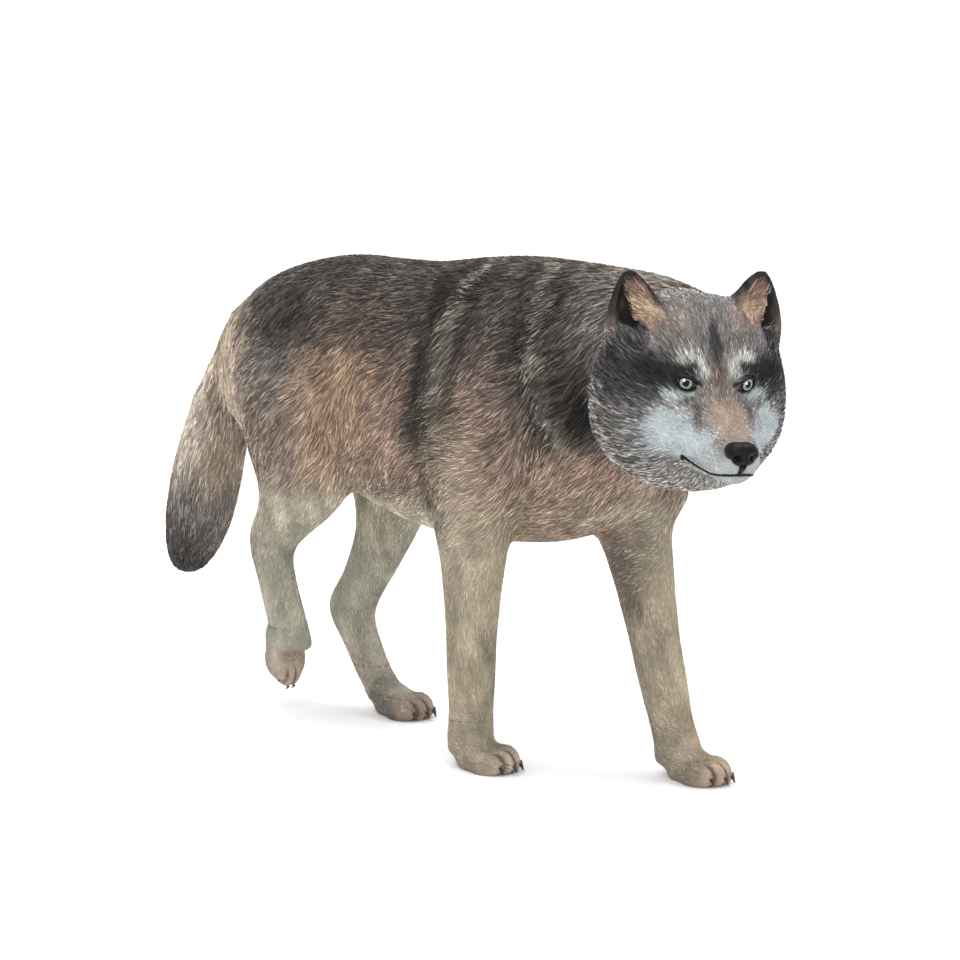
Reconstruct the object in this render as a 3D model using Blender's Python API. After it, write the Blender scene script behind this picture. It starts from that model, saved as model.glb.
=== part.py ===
"""Walking wolf figurine, one solid casting.

The wolf faces -Y with its left side on +X. It walks on three paws with the right
hind paw lifted, and looks to its right. Sizes are in millimetres until the last step.
"""

import math

import bmesh
import bpy
from mathutils import Euler, Matrix, Vector
from mathutils.bvhtree import BVHTree

MM = 0.001

# Torso: length from the breast to the rump, heights above the ground and half widths
TRUNK_LENGTH = 144.0
WITHERS_TOP = 136.0
BACK_TOP = 131.5
CROUP_TOP = 128.5
BELLY_LOW = 59.0
CHEST_HALF_WIDTH = 23.5
LOIN_HALF_WIDTH = 20.5
BREAST_Y = -TRUNK_LENGTH / 2
RUMP_Y = TRUNK_LENGTH / 2

# Legs: sideways place of each paw, heights of the joints, and thickness of the lower leg
FRONT_RIGHT_X = -16.5
FRONT_LEFT_X = 13.5
HIND_LEFT_X = 10.5
HIND_RIGHT_X = -14.0
ELBOW_Z = 66.0
WRIST_Z = 26.0
KNEE_Z = 65.0
HOCK_Z = 31.0
LIFTED_HOCK_Z = 47.5
LIFTED_PAW_Z = 18.9
CANNON_HALF = 5.8

# The step: how far the front paws stand behind the breast and the hind paws ahead of the rump
FRONT_RIGHT_STEP = 28.0
FRONT_LEFT_STEP = -20.4
HIND_LEFT_STEP = 57.0
HIND_RIGHT_STEP = 37.8

# Paws
PAW_HALF_WIDTH = 7.2
PAW_LENGTH = 17.6
PAW_HEIGHT = 8.8
TOE_HALF_WIDTH = 1.85
TOE_SPACING = 3.4
CLAW_LENGTH = 2.8
RIGHT_DEWCLAW_BACK = 5.0
LEFT_DEWCLAW_BACK = 6.9

# Head: its middle sideways, ahead of the breast and above the ground, and its turns in degrees
HEAD_SIDE = -12.0
NECK_REACH = 42.0
HEAD_HEIGHT = 110.8
HEAD_TURN = 28.0
HEAD_DIP = 6.0
HEAD_TILT = 2.5

# Forms of the head in its own frame, where the nose points along -Y
RUFF_HALF_WIDTH = 24.6
CROWN_HEIGHT = 21.5
JAW_DEPTH = 25.4
MUZZLE_HALF_WIDTH = 7.3
NOSE_Y = -32.0
NOSE_HALF_WIDTH = 4.5
EYE_X = 8.1
EYE_Z = 2.9
EYE_RADIUS = 3.2
EAR_X = 14.2
EAR_TIP_Z = 28.0
EAR_HALF_WIDTH = 9.4

# Tail: half thickness, heights of root and tip, and how far the tip hangs behind the rump
TAIL_HALF = 9.8
TAIL_ROOT_Z = 105.0
TAIL_TIP_Z = 32.0
TAIL_SWING = 21.4

# Surface steps: coarse skin, fine skin, and the share of faces that stays
COARSE_STEP = 1.3
FINE_STEP = 0.7
FIRST_PASS_FACES = 42000
MOST_FACES = 11700
RING_POINTS = 28


def clear_scene():
    for obj in list(bpy.data.objects):
        bpy.data.objects.remove(obj, do_unlink=True)


def link_mesh(name, mesh):
    obj = bpy.data.objects.new(name, mesh)
    bpy.context.scene.collection.objects.link(obj)
    return obj


def between(start, end, share):
    return start + (end - start) * share


def head_matrix():
    turn = Matrix.Rotation(math.radians(-HEAD_TURN), 4, "Z")
    dip = Matrix.Rotation(math.radians(HEAD_DIP), 4, "X")
    tilt = Matrix.Rotation(math.radians(HEAD_TILT), 4, "Y")
    place = Vector((HEAD_SIDE, BREAST_Y - NECK_REACH, HEAD_HEIGHT))
    return Matrix.Translation(place) @ turn @ dip @ tilt


def eased(stations, steps=4):
    """More stations between the given ones, on a smooth curve through them."""
    smooth = []
    last = len(stations) - 1
    for i in range(last):
        before, start = stations[max(i - 1, 0)], stations[i]
        end, after = stations[i + 1], stations[min(i + 2, last)]
        for k in range(steps):
            t = k / steps
            smooth.append(
                [
                    0.5
                    * (
                        2 * b
                        + (c - a) * t
                        + (2 * a - 5 * b + 4 * c - d) * t**2
                        + (3 * b - a - 3 * c + d) * t**3
                    )
                    for a, b, c, d in zip(before, start, end, after)
                ]
            )
    smooth.append(list(stations[-1]))
    return smooth


def ring_of(bm, centre, across, rise, half_across, half_up, half_down, power):
    """One closed ring of edges: a rounded outline, taller above or below its widest line."""
    verts = []
    for i in range(RING_POINTS):
        angle = 2 * math.pi * i / RING_POINTS
        c, s = math.cos(angle), math.sin(angle)
        side = math.copysign(abs(c) ** (2 / power), c) * half_across
        height = math.copysign(abs(s) ** (2 / power), s) * (half_up if s > 0 else half_down)
        verts.append(bm.verts.new(centre + across * side + rise * height))
    return [bm.edges.new((a, b)) for a, b in zip(verts, verts[1:] + verts[:1])]


def loft(name, along, stations, power=2.1, place=None):
    """A closed skin over rings.

    along "Y": each station is (y, x, z, half width, up, down).
    along "Z": each station is (z, x, y, half width, to the back, to the front).
    """
    bm = bmesh.new()
    rings = []
    for s in eased(stations):
        if along == "Y":
            centre, rise = Vector((s[1], s[0], s[2])), Vector((0, 0, 1))
        else:
            centre, rise = Vector((s[1], s[2], s[0])), Vector((0, 1, 0))
        sizes = [max(v, 0.3) for v in s[3:6]]
        rings.append(ring_of(bm, centre, Vector((1, 0, 0)), rise, *sizes, power))
    for near, far in zip(rings, rings[1:]):
        bmesh.ops.bridge_loops(bm, edges=near + far)
    bmesh.ops.contextual_create(bm, geom=rings[0])
    bmesh.ops.contextual_create(bm, geom=rings[-1])
    return finish(bm, name, place)


def ball(name, centre, radii, turn=(0, 0, 0), place=None):
    """A stretched sphere, turned by three angles in degrees."""
    bm = bmesh.new()
    bmesh.ops.create_icosphere(bm, subdivisions=3, radius=1)
    spin = Euler([math.radians(a) for a in turn]).to_matrix().to_4x4()
    size = Matrix.Diagonal((*radii, 1))
    bm.transform(Matrix.Translation(Vector(centre)) @ spin @ size)
    return finish(bm, name, place)


def spike(name, start, end, base, tip=0.15, place=None):
    """A cone from start to end: a claw or a lock of fur."""
    bm = bmesh.new()
    start, end = Vector(start), Vector(end)
    reach = end - start
    bmesh.ops.create_cone(
        bm, cap_ends=True, segments=10, radius1=base, radius2=tip, depth=reach.length
    )
    spin = reach.to_track_quat("Z", "Y").to_matrix().to_4x4()
    bm.transform(Matrix.Translation((start + end) / 2) @ spin)
    return finish(bm, name, place)


def finish(bm, name, place=None):
    if place is not None:
        bm.transform(place)
    bmesh.ops.recalc_face_normals(bm, faces=bm.faces)
    mesh = bpy.data.meshes.new(name)
    bm.to_mesh(mesh)
    bm.free()
    return link_mesh(name, mesh)


def tube(name, points, radii, place=None):
    """A round cord through the points, thick as the radii say."""
    curve = bpy.data.curves.new(name, "CURVE")
    curve.dimensions = "3D"
    curve.bevel_depth = 1.0
    curve.bevel_resolution = 3
    curve.resolution_u = 6
    curve.use_fill_caps = True
    line = curve.splines.new("BEZIER")
    line.bezier_points.add(len(points) - 1)
    for knot, point, radius in zip(line.bezier_points, points, radii):
        knot.co = point
        knot.radius = radius
        knot.handle_left_type = knot.handle_right_type = "AUTO"
    guide = bpy.data.objects.new(name + "_guide", curve)
    bpy.context.scene.collection.objects.link(guide)
    bm = bmesh.new()
    bm.from_mesh(evaluated_mesh(guide))
    bpy.data.objects.remove(guide, do_unlink=True)
    bmesh.ops.remove_doubles(bm, verts=bm.verts, dist=1e-4)
    return finish(bm, name, place)


def evaluated_mesh(obj):
    graph = bpy.context.evaluated_depsgraph_get()
    return bpy.data.meshes.new_from_object(obj.evaluated_get(graph))


def joined(name, objects):
    """One object that holds the meshes of all of them."""
    bm = bmesh.new()
    for obj in objects:
        bm.from_mesh(obj.data)
        bpy.data.objects.remove(obj, do_unlink=True)
    mesh = bpy.data.meshes.new(name)
    bm.to_mesh(mesh)
    bm.free()
    return link_mesh(name, mesh)


def bake(obj):
    """The modifiers become part of the mesh."""
    mesh = evaluated_mesh(obj)
    obj.modifiers.clear()
    obj.data = mesh
    return obj


def skin(obj, step, rounds, factor=0.5):
    """One even skin round everything that overlaps, then smoothed."""
    remesh = obj.modifiers.new("skin", "REMESH")
    remesh.mode = "VOXEL"
    remesh.voxel_size = step
    remesh.adaptivity = 0
    soften = obj.modifiers.new("soften", "SMOOTH")
    soften.factor = factor
    soften.iterations = rounds
    return bake(obj)


def boolean(obj, cutter, operation):
    cut = obj.modifiers.new("cut", "BOOLEAN")
    cut.operation = operation
    cut.solver = "EXACT"
    cut.object = cutter
    bake(obj)
    bpy.data.objects.remove(cutter, do_unlink=True)
    return obj


def torso():
    chest, loin = CHEST_HALF_WIDTH, LOIN_HALF_WIDTH

    def section(y, x, mid, half, top, low):
        return (y, x, mid, half, top - mid, mid - low)

    breast, rump, middle = BREAST_Y, RUMP_Y, (BREAST_Y + RUMP_Y) / 2
    return loft(
        "torso",
        "Y",
        [
            section(rump + 2, 0, 100, 4, 104, 95),
            section(rump - 2, 0, 99, 7.6, 109, 86),
            section(rump - 10, 0, 98, 12.4, 115.8, 77),
            section(rump - 22, 0, 97, loin - 3, CROUP_TOP - 4.6, 71),
            section(rump - 37, 0, 97, loin - 1, CROUP_TOP + 0.4, 69),
            section(rump - 52, 0, 97, loin, BACK_TOP - 0.1, 67),
            section(middle + 4, 0, 96, loin + 0.5, BACK_TOP, 62),
            section(middle - 12, 0, 95, chest - 1.5, BACK_TOP + 0.5, BELLY_LOW),
            section(breast + 43, 0, 95, chest - 0.5, WITHERS_TOP - 1.5, BELLY_LOW - 0.5),
            section(breast + 28, 0, 96, chest, WITHERS_TOP, BELLY_LOW + 0.5),
            section(breast + 14, 0, 98, chest - 0.5, WITHERS_TOP, BELLY_LOW + 2.5),
            section(breast, -0.5, 102, chest - 1.5, WITHERS_TOP - 0.5, BELLY_LOW + 7.5),
            section(breast - 12, -1.5, 106, chest - 3.5, WITHERS_TOP - 0.8, BELLY_LOW + 17),
            section(breast - 23, -3.5, 109, chest - 5.5, WITHERS_TOP - 1.8, BELLY_LOW + 27),
            section(breast - 34, -6.5, 111, chest - 8, WITHERS_TOP - 3.6, BELLY_LOW + 34),
            section(breast - 41, -9, 113, chest - 14, WITHERS_TOP - 8, BELLY_LOW + 39),
        ],
        power=2.2,
    )


def front_leg(name, x, shoulder_y, paw_y, elbow, wrist, foot):
    """Shoulder, upper arm, forearm, wrist and pastern, as level sections.

    elbow, wrist and foot say how far each lies along the way from shoulder_y to paw_y.
    """
    thin = CANNON_HALF
    elbow_y, wrist_y, foot_y = (between(shoulder_y, paw_y, share) for share in (elbow, wrist, foot))

    def arm(share):
        return between(ELBOW_Z, WRIST_Z, share), x, between(elbow_y, wrist_y, share)

    return loft(
        name,
        "Z",
        [
            (ELBOW_Z + 50, x * 0.72, shoulder_y - 2, 6.5, 11, 11),
            (ELBOW_Z + 38, x * 0.86, shoulder_y, 9.5, 16, 17),
            (ELBOW_Z + 24, x * 0.94, between(shoulder_y, elbow_y, 0.4), 9.6, 16, 18),
            (ELBOW_Z + 11, x, elbow_y - 3, 8.8, 14, 15),
            (ELBOW_Z, x, elbow_y, 7.8, 12.5, 12.5),
            (*arm(0.22), 7.2, 10, 10.5),
            (*arm(0.5), 6.7, 8.2, 8.4),
            (*arm(0.78), 6.3, 7.2, 7.0),
            (WRIST_Z, x, wrist_y, 6.3, 6.8, 6.7),
            (WRIST_Z * 0.6, x, between(wrist_y, foot_y, 0.5) + 2, thin, 6.1, 6.0),
            (WRIST_Z * 0.34, x, foot_y + 4.5, thin + 0.4, 6.2, 6.4),
            (WRIST_Z * 0.13, x, foot_y + 4, thin + 0.8, 6.2, 6.4),
        ],
    )


def left_hind_leg():
    """Thigh, knee, gaskin, hock and pastern of the standing hind leg, as level sections."""
    x, thin = HIND_LEFT_X, CANNON_HALF - 0.5
    hip_y, paw_y = RUMP_Y - 24, RUMP_Y - HIND_LEFT_STEP

    def level(z, share, wide, back, front, out=1.0):
        return z, x * out, between(hip_y, paw_y, share), wide, back, front

    return loft(
        "left_hind_leg",
        "Z",
        [
            level(KNEE_Z + 49, 0, 7, 15, 14, 0.8),
            level(KNEE_Z + 36, 0.15, 9.5, 21, 20),
            level(KNEE_Z + 23, 0.42, 10.5, 21, 20, 1.08),
            level(KNEE_Z + 11, 0.7, 10, 18, 16, 1.08),
            level(KNEE_Z, 0.88, 8.6, 13.5, 13, 1.04),
            level(between(HOCK_Z, KNEE_Z, 0.7), 0.86, 7.2, 10.6, 10.8),
            level(between(HOCK_Z, KNEE_Z, 0.44), 0.74, 6.4, 9.2, 8.8),
            level(between(HOCK_Z, KNEE_Z, 0.22), 0.61, 5.9, 8.6, 7.8),
            level(HOCK_Z, 0.44, 5.9, 8.0, 8.0),
            level(HOCK_Z * 0.82, 0.42, thin + 0.4, 6.8, 6.8),
            level(HOCK_Z * 0.58, 0.55, thin - 0.1, 5.6, 5.6),
            level(HOCK_Z * 0.355, 0.68, thin - 0.1, 5.5, 5.6),
            level(HOCK_Z * 0.19, 0.82, thin + 0.4, 5.8, 6.0),
            level(HOCK_Z * 0.1, 0.86, thin + 0.8, 5.8, 6.0),
        ],
    )


def right_hind_leg():
    """The lifted hind leg: its knee and hock are bent and its paw hangs clear of the ground."""
    x, thin = HIND_RIGHT_X, CANNON_HALF - 0.5
    hip_y, paw_y = RUMP_Y - 26, RUMP_Y - HIND_RIGHT_STEP

    def level(z, share, wide, back, front, out=1.0):
        return z, x * out, between(hip_y, paw_y, share), wide, back, front

    def shin(share):
        return between(LIFTED_HOCK_Z, KNEE_Z, share)

    def pastern(share):
        return between(LIFTED_PAW_Z, LIFTED_HOCK_Z, share)

    return loft(
        "right_hind_leg",
        "Z",
        [
            level(KNEE_Z + 49, 0, 7, 15, 14, 0.62),
            level(KNEE_Z + 36, 0.51, 9.5, 21, 21, 0.78),
            level(KNEE_Z + 23, 1.02, 10.2, 20, 20, 0.88),
            level(KNEE_Z + 11, 1.36, 9.8, 18.5, 17.5, 0.95),
            level(KNEE_Z + 1, 1.47, 8.8, 15, 15),
            level(shin(0.66), 1.19, 7.6, 13.2, 11.8),
            level(shin(0.31), 0.66, 6.4, 10.2, 9.6),
            level(LIFTED_HOCK_Z, 0.39, 5.7, 6.6, 6.9),
            level(pastern(0.8), 0.49, thin, 5.7, 5.8),
            level(pastern(0.49), 0.75, thin - 0.1, 5.7, 5.8),
            level(pastern(0.21), 0.97, thin - 0.1, 5.8, 6.6),
            level(pastern(0.04), 1.03, thin + 0.4, 6.0, 7.0),
        ],
    )


def tail_middle(share):
    """The middle of the tail, from its root (0) to its tip (1): height and distance."""
    z = between(TAIL_ROOT_Z, TAIL_TIP_Z, share)
    hang = 0.2 * math.sin(math.pi * min(share, 1.0))
    return z, RUMP_Y + between(-6.6, TAIL_SWING, share + hang * (1 - share))


def tail():
    r = TAIL_HALF
    stations = []
    for share, wide, deep in [
        (-0.1, 0.5, 0.7),
        (0, 0.62, 0.8),
        (0.15, 0.74, 0.86),
        (0.315, 0.86, 0.94),
        (0.48, 0.97, 1.04),
        (0.615, 1, 1.06),
        (0.74, 0.97, 1.02),
        (0.835, 0.86, 0.91),
        (0.915, 0.68, 0.73),
        (0.98, 0.4, 0.45),
        (1.0, 0.12, 0.12),
    ]:
        z, y = tail_middle(share)
        stations.append((z, 0, y, r * wide, r * deep, r * deep))
    return loft("tail", "Z", stations)


def paw(name, place, half_width=PAW_HALF_WIDTH, spread=1.0):
    """Pad, four toes and four claws. The sole lies at Z = 0 and the toes point along -Y."""
    parts = []
    back, front = PAW_LENGTH * 0.42, -PAW_LENGTH * 0.34
    high = PAW_HEIGHT
    pad = loft(
        name + "_pad",
        "Y",
        [
            (back, 0, 3.4, half_width * 0.5, 2.6, 3.8),
            (back - 2.5, 0, 4.0, half_width * 0.78, 5.5, 5.0),
            (back - 5.5, 0, 4.2, half_width * 0.9, high - 4.4, 5.2),
            (front + 5.5, 0, 3.8, half_width * 0.92, high - 5.4, 5.0),
            (front + 2.0, 0, 3.0, half_width * 0.82, high - 7.2, 4.2),
            (front - 0.8, 0, 2.4, half_width * 0.6, 1.2, 3.2),
        ],
        power=2.3,
        place=place,
    )
    parts.append(pad)
    wide = TOE_HALF_WIDTH
    for number, (side, reach, lift) in enumerate(
        [(-1.5, 2.4, -0.3), (-0.5, 0, 0), (0.5, 0, 0), (1.5, 2.4, -0.3)]
    ):
        x = side * TOE_SPACING * spread
        y = front + reach
        fan = -side * 5.5
        toe = ball(
            f"{name}_toe_{number}",
            (x, y, 3.0 + lift),
            (wide, 5.0, 3.8),
            turn=(6, 0, fan),
            place=place,
        )
        swing = math.radians(fan)
        ahead = Vector((math.sin(swing), -math.cos(swing), 0))
        root = Vector((x, y, 3.3 + lift)) + ahead * 3.9
        point = root + ahead * CLAW_LENGTH + Vector((0, 0, -2.1))
        claw = spike(f"{name}_claw_{number}", root, point, 0.95, 0.25, place=place)
        parts += [toe, claw]
    return parts


def standing(x, y, turn=0.0):
    return Matrix.Translation((x, y, 0)) @ Matrix.Rotation(math.radians(turn), 4, "Z")


def lifted_paw():
    """The right hind paw hangs with its toes down."""
    place = (
        Matrix.Translation((HIND_RIGHT_X, RUMP_Y - HIND_RIGHT_STEP, LIFTED_PAW_Z))
        @ Matrix.Rotation(math.radians(74), 4, "X")
        @ Matrix.Translation((0, 2.0, -5.3))
    )
    return paw("right_hind_paw", place, PAW_HALF_WIDTH * 0.84, spread=0.8)


def skull(place):
    wide, high, deep = RUFF_HALF_WIDTH, CROWN_HEIGHT, JAW_DEPTH
    return loft(
        "skull",
        "Y",
        [
            (18, 0, -3, wide * 0.62, high * 0.7, deep * 0.55),
            (15.5, 0, -5, wide * 0.88, high + 2, deep * 0.72),
            (11.5, 0, -7, wide * 1.0, high + 6.4, deep - 5.8),
            (6, 0, -7.5, wide * 1.02, high + 7.5, deep - 5.0),
            (0, 0, -7.5, wide * 0.97, high + 5.8, deep - 5.2),
            (-5, 0, -7, wide * 0.85, high + 1.6, deep - 6.0),
            (-9, 0, -7, wide * 0.67, high - 3.6, deep - 7.4),
            (-12.5, 0, -7, wide * 0.46, high - 9, deep - 10),
            (-15, 0, -7, wide * 0.26, high - 14, deep - 13),
        ],
        power=2.15,
        place=place,
    )


def muzzle(place):
    wide = MUZZLE_HALF_WIDTH
    return loft(
        "muzzle",
        "Y",
        [
            (0, 0, -5, wide * 2.0, 12, 15),
            (-8, 0, -7, wide * 1.86, 12.0, 13),
            (-13, 0, -8.6, wide * 1.6, 10.2, 11.0),
            (-18, 0, -10, wide * 1.3, 8.0, 8.8),
            (-24, 0, -11.4, wide * 1.02, 6.0, 6.8),
            (NOSE_Y + 3.6, 0, -12.6, wide * 0.8, 4.7, 5.2),
            (NOSE_Y + 1.2, 0, -13, wide * 0.52, 3.4, 3.4),
            (NOSE_Y + 0.6, 0, -13, wide * 0.2, 1.4, 1.4),
        ],
        power=2.5,
        place=place,
    )


def face_masses(place):
    """Brows, cheekbones, upper lips, chin and nose pad."""
    parts = []
    for side in (-1, 1):
        parts += [
            ball("brow", (side * 7.6, -7.2, 6.6), (6.2, 5.0, 3.6), (24, 0, side * 18), place),
            ball("cheek", (side * 11.0, -7.6, -8.0), (8.0, 7.0, 7.0), (0, 0, side * 34), place),
            ball("lip", (side * 3.4, NOSE_Y + 6.2, -13.0), (3.6, 5.6, 2.9), (0, 0, side * 4), place),
        ]
    parts.append(ball("chin", (0, NOSE_Y + 7.6, -16.8), (4.4, 6.2, 2.4), place=place))
    return parts


def nose_pad(place):
    wide = NOSE_HALF_WIDTH
    pad = loft(
        "nose_pad",
        "Y",
        [
            (NOSE_Y + 4.4, 0, -9.6, wide * 0.62, 1.9, 2.2),
            (NOSE_Y + 2.8, 0, -9.9, wide * 0.92, 2.5, 2.6),
            (NOSE_Y + 1.2, 0, -10.3, wide, 2.7, 2.8),
            (NOSE_Y, 0, -10.6, wide * 0.86, 2.4, 2.5),
            (NOSE_Y - 0.7, 0, -10.8, wide * 0.5, 1.4, 1.6),
        ],
        power=2.5,
        place=place,
    )
    for side in (-1, 1):
        hole = tube(
            "nostril",
            [
                (side * 1.6, NOSE_Y - 2.0, -10.6),
                (side * 2.3, NOSE_Y + 0.4, -10.5),
                (side * 4.5, NOSE_Y + 1.6, -11.2),
            ],
            [0.8, 1.0, 0.7],
            place,
        )
        boolean(pad, hole, "DIFFERENCE")
    return pad


def ear(side, place):
    """A pointed ear with a hollow that faces forward and a little outward."""
    wide, tip = EAR_HALF_WIDTH, EAR_TIP_Z
    x = side * EAR_X
    stations = [
        (6, x * 0.96, 7.0, wide * 0.96, 5.6, 5.6),
        (12, x * 1.02, 7.0, wide, 5.2, 5.0),
        (17, x * 1.09, 7.4, wide * 0.84, 4.4, 3.8),
        (21.5, x * 1.16, 8.0, wide * 0.6, 3.4, 2.7),
        (25.2, x * 1.22, 8.7, wide * 0.36, 2.3, 1.8),
        (tip - 0.8, x * 1.26, 9.2, wide * 0.16, 1.2, 1.0),
        (tip, x * 1.27, 9.4, wide * 0.05, 0.5, 0.5),
    ]
    return loft("ear", "Z", stations, place=place)


def ear_hollow(side, place):
    """The hollow lies in the outer half of the ear, and the inner half stays full of fur."""
    wide = EAR_HALF_WIDTH
    x = side * EAR_X
    stations = [
        (8.0, x * 1.20, 1.0, wide * 0.22, 2.4, 4.6),
        (11.5, x * 1.29, 1.6, wide * 0.34, 4.6, 5.0),
        (15.5, x * 1.36, 2.6, wide * 0.30, 4.8, 5.0),
        (20.0, x * 1.38, 4.4, wide * 0.22, 3.6, 5.0),
        (23.6, x * 1.37, 6.2, wide * 0.10, 1.8, 4.0),
    ]
    return loft("ear_hollow", "Z", stations, place=place)


def on_face(tree, place, x, z):
    """The point of the face in front of (x, z), in the head's frame."""
    away = (place.to_3x3() @ Vector((0, 1, 0))).normalized()
    hit, _, _, _ = tree.ray_cast(place @ Vector((x, -60, z)), away)
    return place.inverted() @ hit


def eye_pair(tree, place):
    """Eyeballs that stand a little out of the face, each between two lids."""
    parts = []
    r = EYE_RADIUS
    for side in (-1, 1):
        front = on_face(tree, place, side * EYE_X, EYE_Z)
        look = Vector((side * 0.45, -1, 0)).normalized()
        across = Vector((side, 0.45, 0)).normalized()
        centre = front - look * (r * 0.55)
        parts.append(ball("eye", centre, (r, r, r), place=place))
        inner = centre - across * (r * 1.1) + look * (r * 0.5) + Vector((0, 0, -0.8))
        outer = centre + across * (r * 1.05) + look * (r * 0.25) + Vector((0, 0, 0.7))
        for name, bulge, radius in (("upper_lid", 0.62, 0.9), ("lower_lid", -0.56, 0.7)):
            middle = centre + look * (r * 0.84) + Vector((0, 0, r * bulge))
            parts.append(tube(name, [inner, middle, outer], [0.55, radius, 0.55], place))
    return parts


def beside_muzzle(tree, place, side, y, z):
    """The point on the side of the muzzle at this distance and height, in the head's frame."""
    inward = (place.to_3x3() @ Vector((-side, 0, 0))).normalized()
    hit, _, _, _ = tree.ray_cast(place @ Vector((side * 40, y, z)), inward)
    return place.inverted() @ hit


def mouth_line(tree, place):
    """The closed mouth, cut as one narrow groove round the muzzle, and the split below the nose."""
    behind_nose = [(17.5, -11.6), (14.5, -13.6), (11.0, -14.8), (7.0, -15.4), (3.4, -15.4)]
    corner_to_front = [(NOSE_Y + behind, z) for behind, z in behind_nose]
    right = [beside_muzzle(tree, place, -1, y, z) for y, z in corner_to_front]
    left = [beside_muzzle(tree, place, 1, y, z) for y, z in reversed(corner_to_front)]
    points = right + [on_face(tree, place, 0, -15.0)] + left
    radii = [0.4, 0.7, 0.75, 0.75, 0.75, 0.75, 0.75, 0.75, 0.75, 0.7, 0.4]
    groove = tube("mouth_groove", points, radii, place)
    split = tube(
        "lip_split", [(0, NOSE_Y - 0.2, -12), (0, NOSE_Y + 0.8, -15.4)], [0.5, 0.5], place
    )
    return [groove, split]


def on_side(tree, side, y, z, sink):
    """The point of the body's flank at this height and distance, sunk a little below its skin."""
    hit, normal, _, _ = tree.ray_cast(Vector((side * 90, y, z)), Vector((-side, 0, 0)))
    if hit is None:
        return None
    return hit - normal * sink


def fur_ridge(tree, side, line, thick, sink):
    """A raised ridge of fur that lies on the flank along a line of (y, z) points."""
    points = [on_side(tree, side, y, z, sink) for y, z in line]
    points = [p for p in points if p is not None]
    radii = []
    for i in range(len(points)):
        share = i / (len(points) - 1)
        radii.append(thick * (0.35 + 0.65 * math.sin(math.pi * between(0.12, 0.88, share))))
    return tube("fold", points, radii)


def fur_fold(tree, side, line, thick, sink):
    """A fold: a crest that drops steeply behind, and two lower ridges that slope up to it."""
    parts = []
    for ahead, deeper in ((0, 0), (2.6, 0.55), (5.2, 1.25)):
        shifted = [(y - ahead, z) for y, z in line]
        parts.append(fur_ridge(tree, side, shifted, thick, sink + deeper))
    return parts


def flank(line, start_y):
    """Points on the flank: distances behind start_y, and shares of the height of the trunk."""
    return [(start_y + behind, between(BELLY_LOW, WITHERS_TOP, share)) for behind, share in line]


def body_folds(tree):
    """Three long folds on each side: behind the shoulder, where the mane ends, and on the thigh."""
    rear = flank(
        [(36, 0.96), (38, 0.88), (39.5, 0.78), (41, 0.66), (43, 0.53), (44, 0.4), (44, 0.26), (44, 0.12)],
        BREAST_Y,
    )
    front = flank(
        [(17, 0.97), (13, 0.91), (10, 0.8), (7, 0.71), (3.5, 0.61), (0, 0.51), (-5, 0.4), (-13, 0.34)],
        BREAST_Y,
    )
    thigh = flank(
        [(-47, 0.69), (-50, 0.58), (-53, 0.48), (-57, 0.38), (-63, 0.26), (-66, 0.18)], RUMP_Y
    )
    folds = []
    for side in (-1, 1):
        folds += fur_fold(tree, side, rear, 4.0, 2.0)
        folds += fur_fold(tree, side, front, 4.0, 1.9)
        folds += fur_fold(tree, side, thigh, 2.6, 1.5)
    return folds


def ruff_locks(place):
    """Pointed locks round the edge of the ruff, from ear to ear under the jaw, in two rows."""
    locks = []
    count = 46
    for i in range(count):
        angle = math.radians(between(-205, 25, i / (count - 1)))
        c, s = math.cos(angle), math.sin(angle)
        wobble = 0.5 + 0.5 * math.sin(i * 2.4)
        row = i % 2
        half, deep = RUFF_HALF_WIDTH - 3.0 - row, JAW_DEPTH - 3.2 - row
        root = Vector((c * half * 0.96, 5.0 - 2 * row, -2.5 + s * deep * 0.96))
        reach = 2.0 + 0.9 * wobble
        point = Vector((c * (half + reach), 13.5 + 3.0 * wobble - row, -2.5 + s * (deep + reach)))
        locks.append(spike("lock", root, point, 2.9, 0.4, place))
    return locks


def tail_locks():
    """Locks that stand a little off the tail and roughen its edge."""
    locks = []
    count = 14
    for i in range(count):
        angle = i * 2.4
        share = between(0.2, 0.84, i / (count - 1))
        z, y = tail_middle(share)
        out = Vector((math.cos(angle), math.sin(angle) * 0.9, 0))
        reach = TAIL_HALF * (0.98 if share < 0.7 else 0.98 - (share - 0.7) * 2.2)
        root = Vector((0, y, z)) + out * (reach - 2.6)
        point = Vector((0, y, z)) + out * (reach + 0.2) + Vector((0, 3.2, -9.0))
        locks.append(spike("tail_lock", root, point, 2.6, 0.4))
    return locks


def dewclaw(name, leg_x, leg_y):
    """The small high claw on the inner side of a front pastern."""
    inner = -math.copysign(1, leg_x)
    root = (leg_x + inner * (CANNON_HALF - 0.6), leg_y + 1.0, 10.5)
    point = (leg_x + inner * (CANNON_HALF + 1.5), leg_y - 1.6, 6.6)
    return spike(name, root, point, 1.3, 0.3)


def flat_soles(obj):
    """Cuts the standing paws off level, so that each sole is one flat face."""
    bm = bmesh.new()
    bm.from_mesh(obj.data)
    geometry = bm.verts[:] + bm.edges[:] + bm.faces[:]
    cut = bmesh.ops.bisect_plane(
        bm, geom=geometry, dist=1e-5, plane_co=(0, 0, 0), plane_no=(0, 0, 1), clear_inner=True
    )
    rim = [item for item in cut["geom_cut"] if isinstance(item, bmesh.types.BMEdge)]
    bmesh.ops.holes_fill(bm, edges=rim, sides=0)
    bmesh.ops.triangulate(bm, faces=bm.faces)
    bmesh.ops.recalc_face_normals(bm, faces=bm.faces)
    bm.to_mesh(obj.data)
    bm.free()


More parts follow.
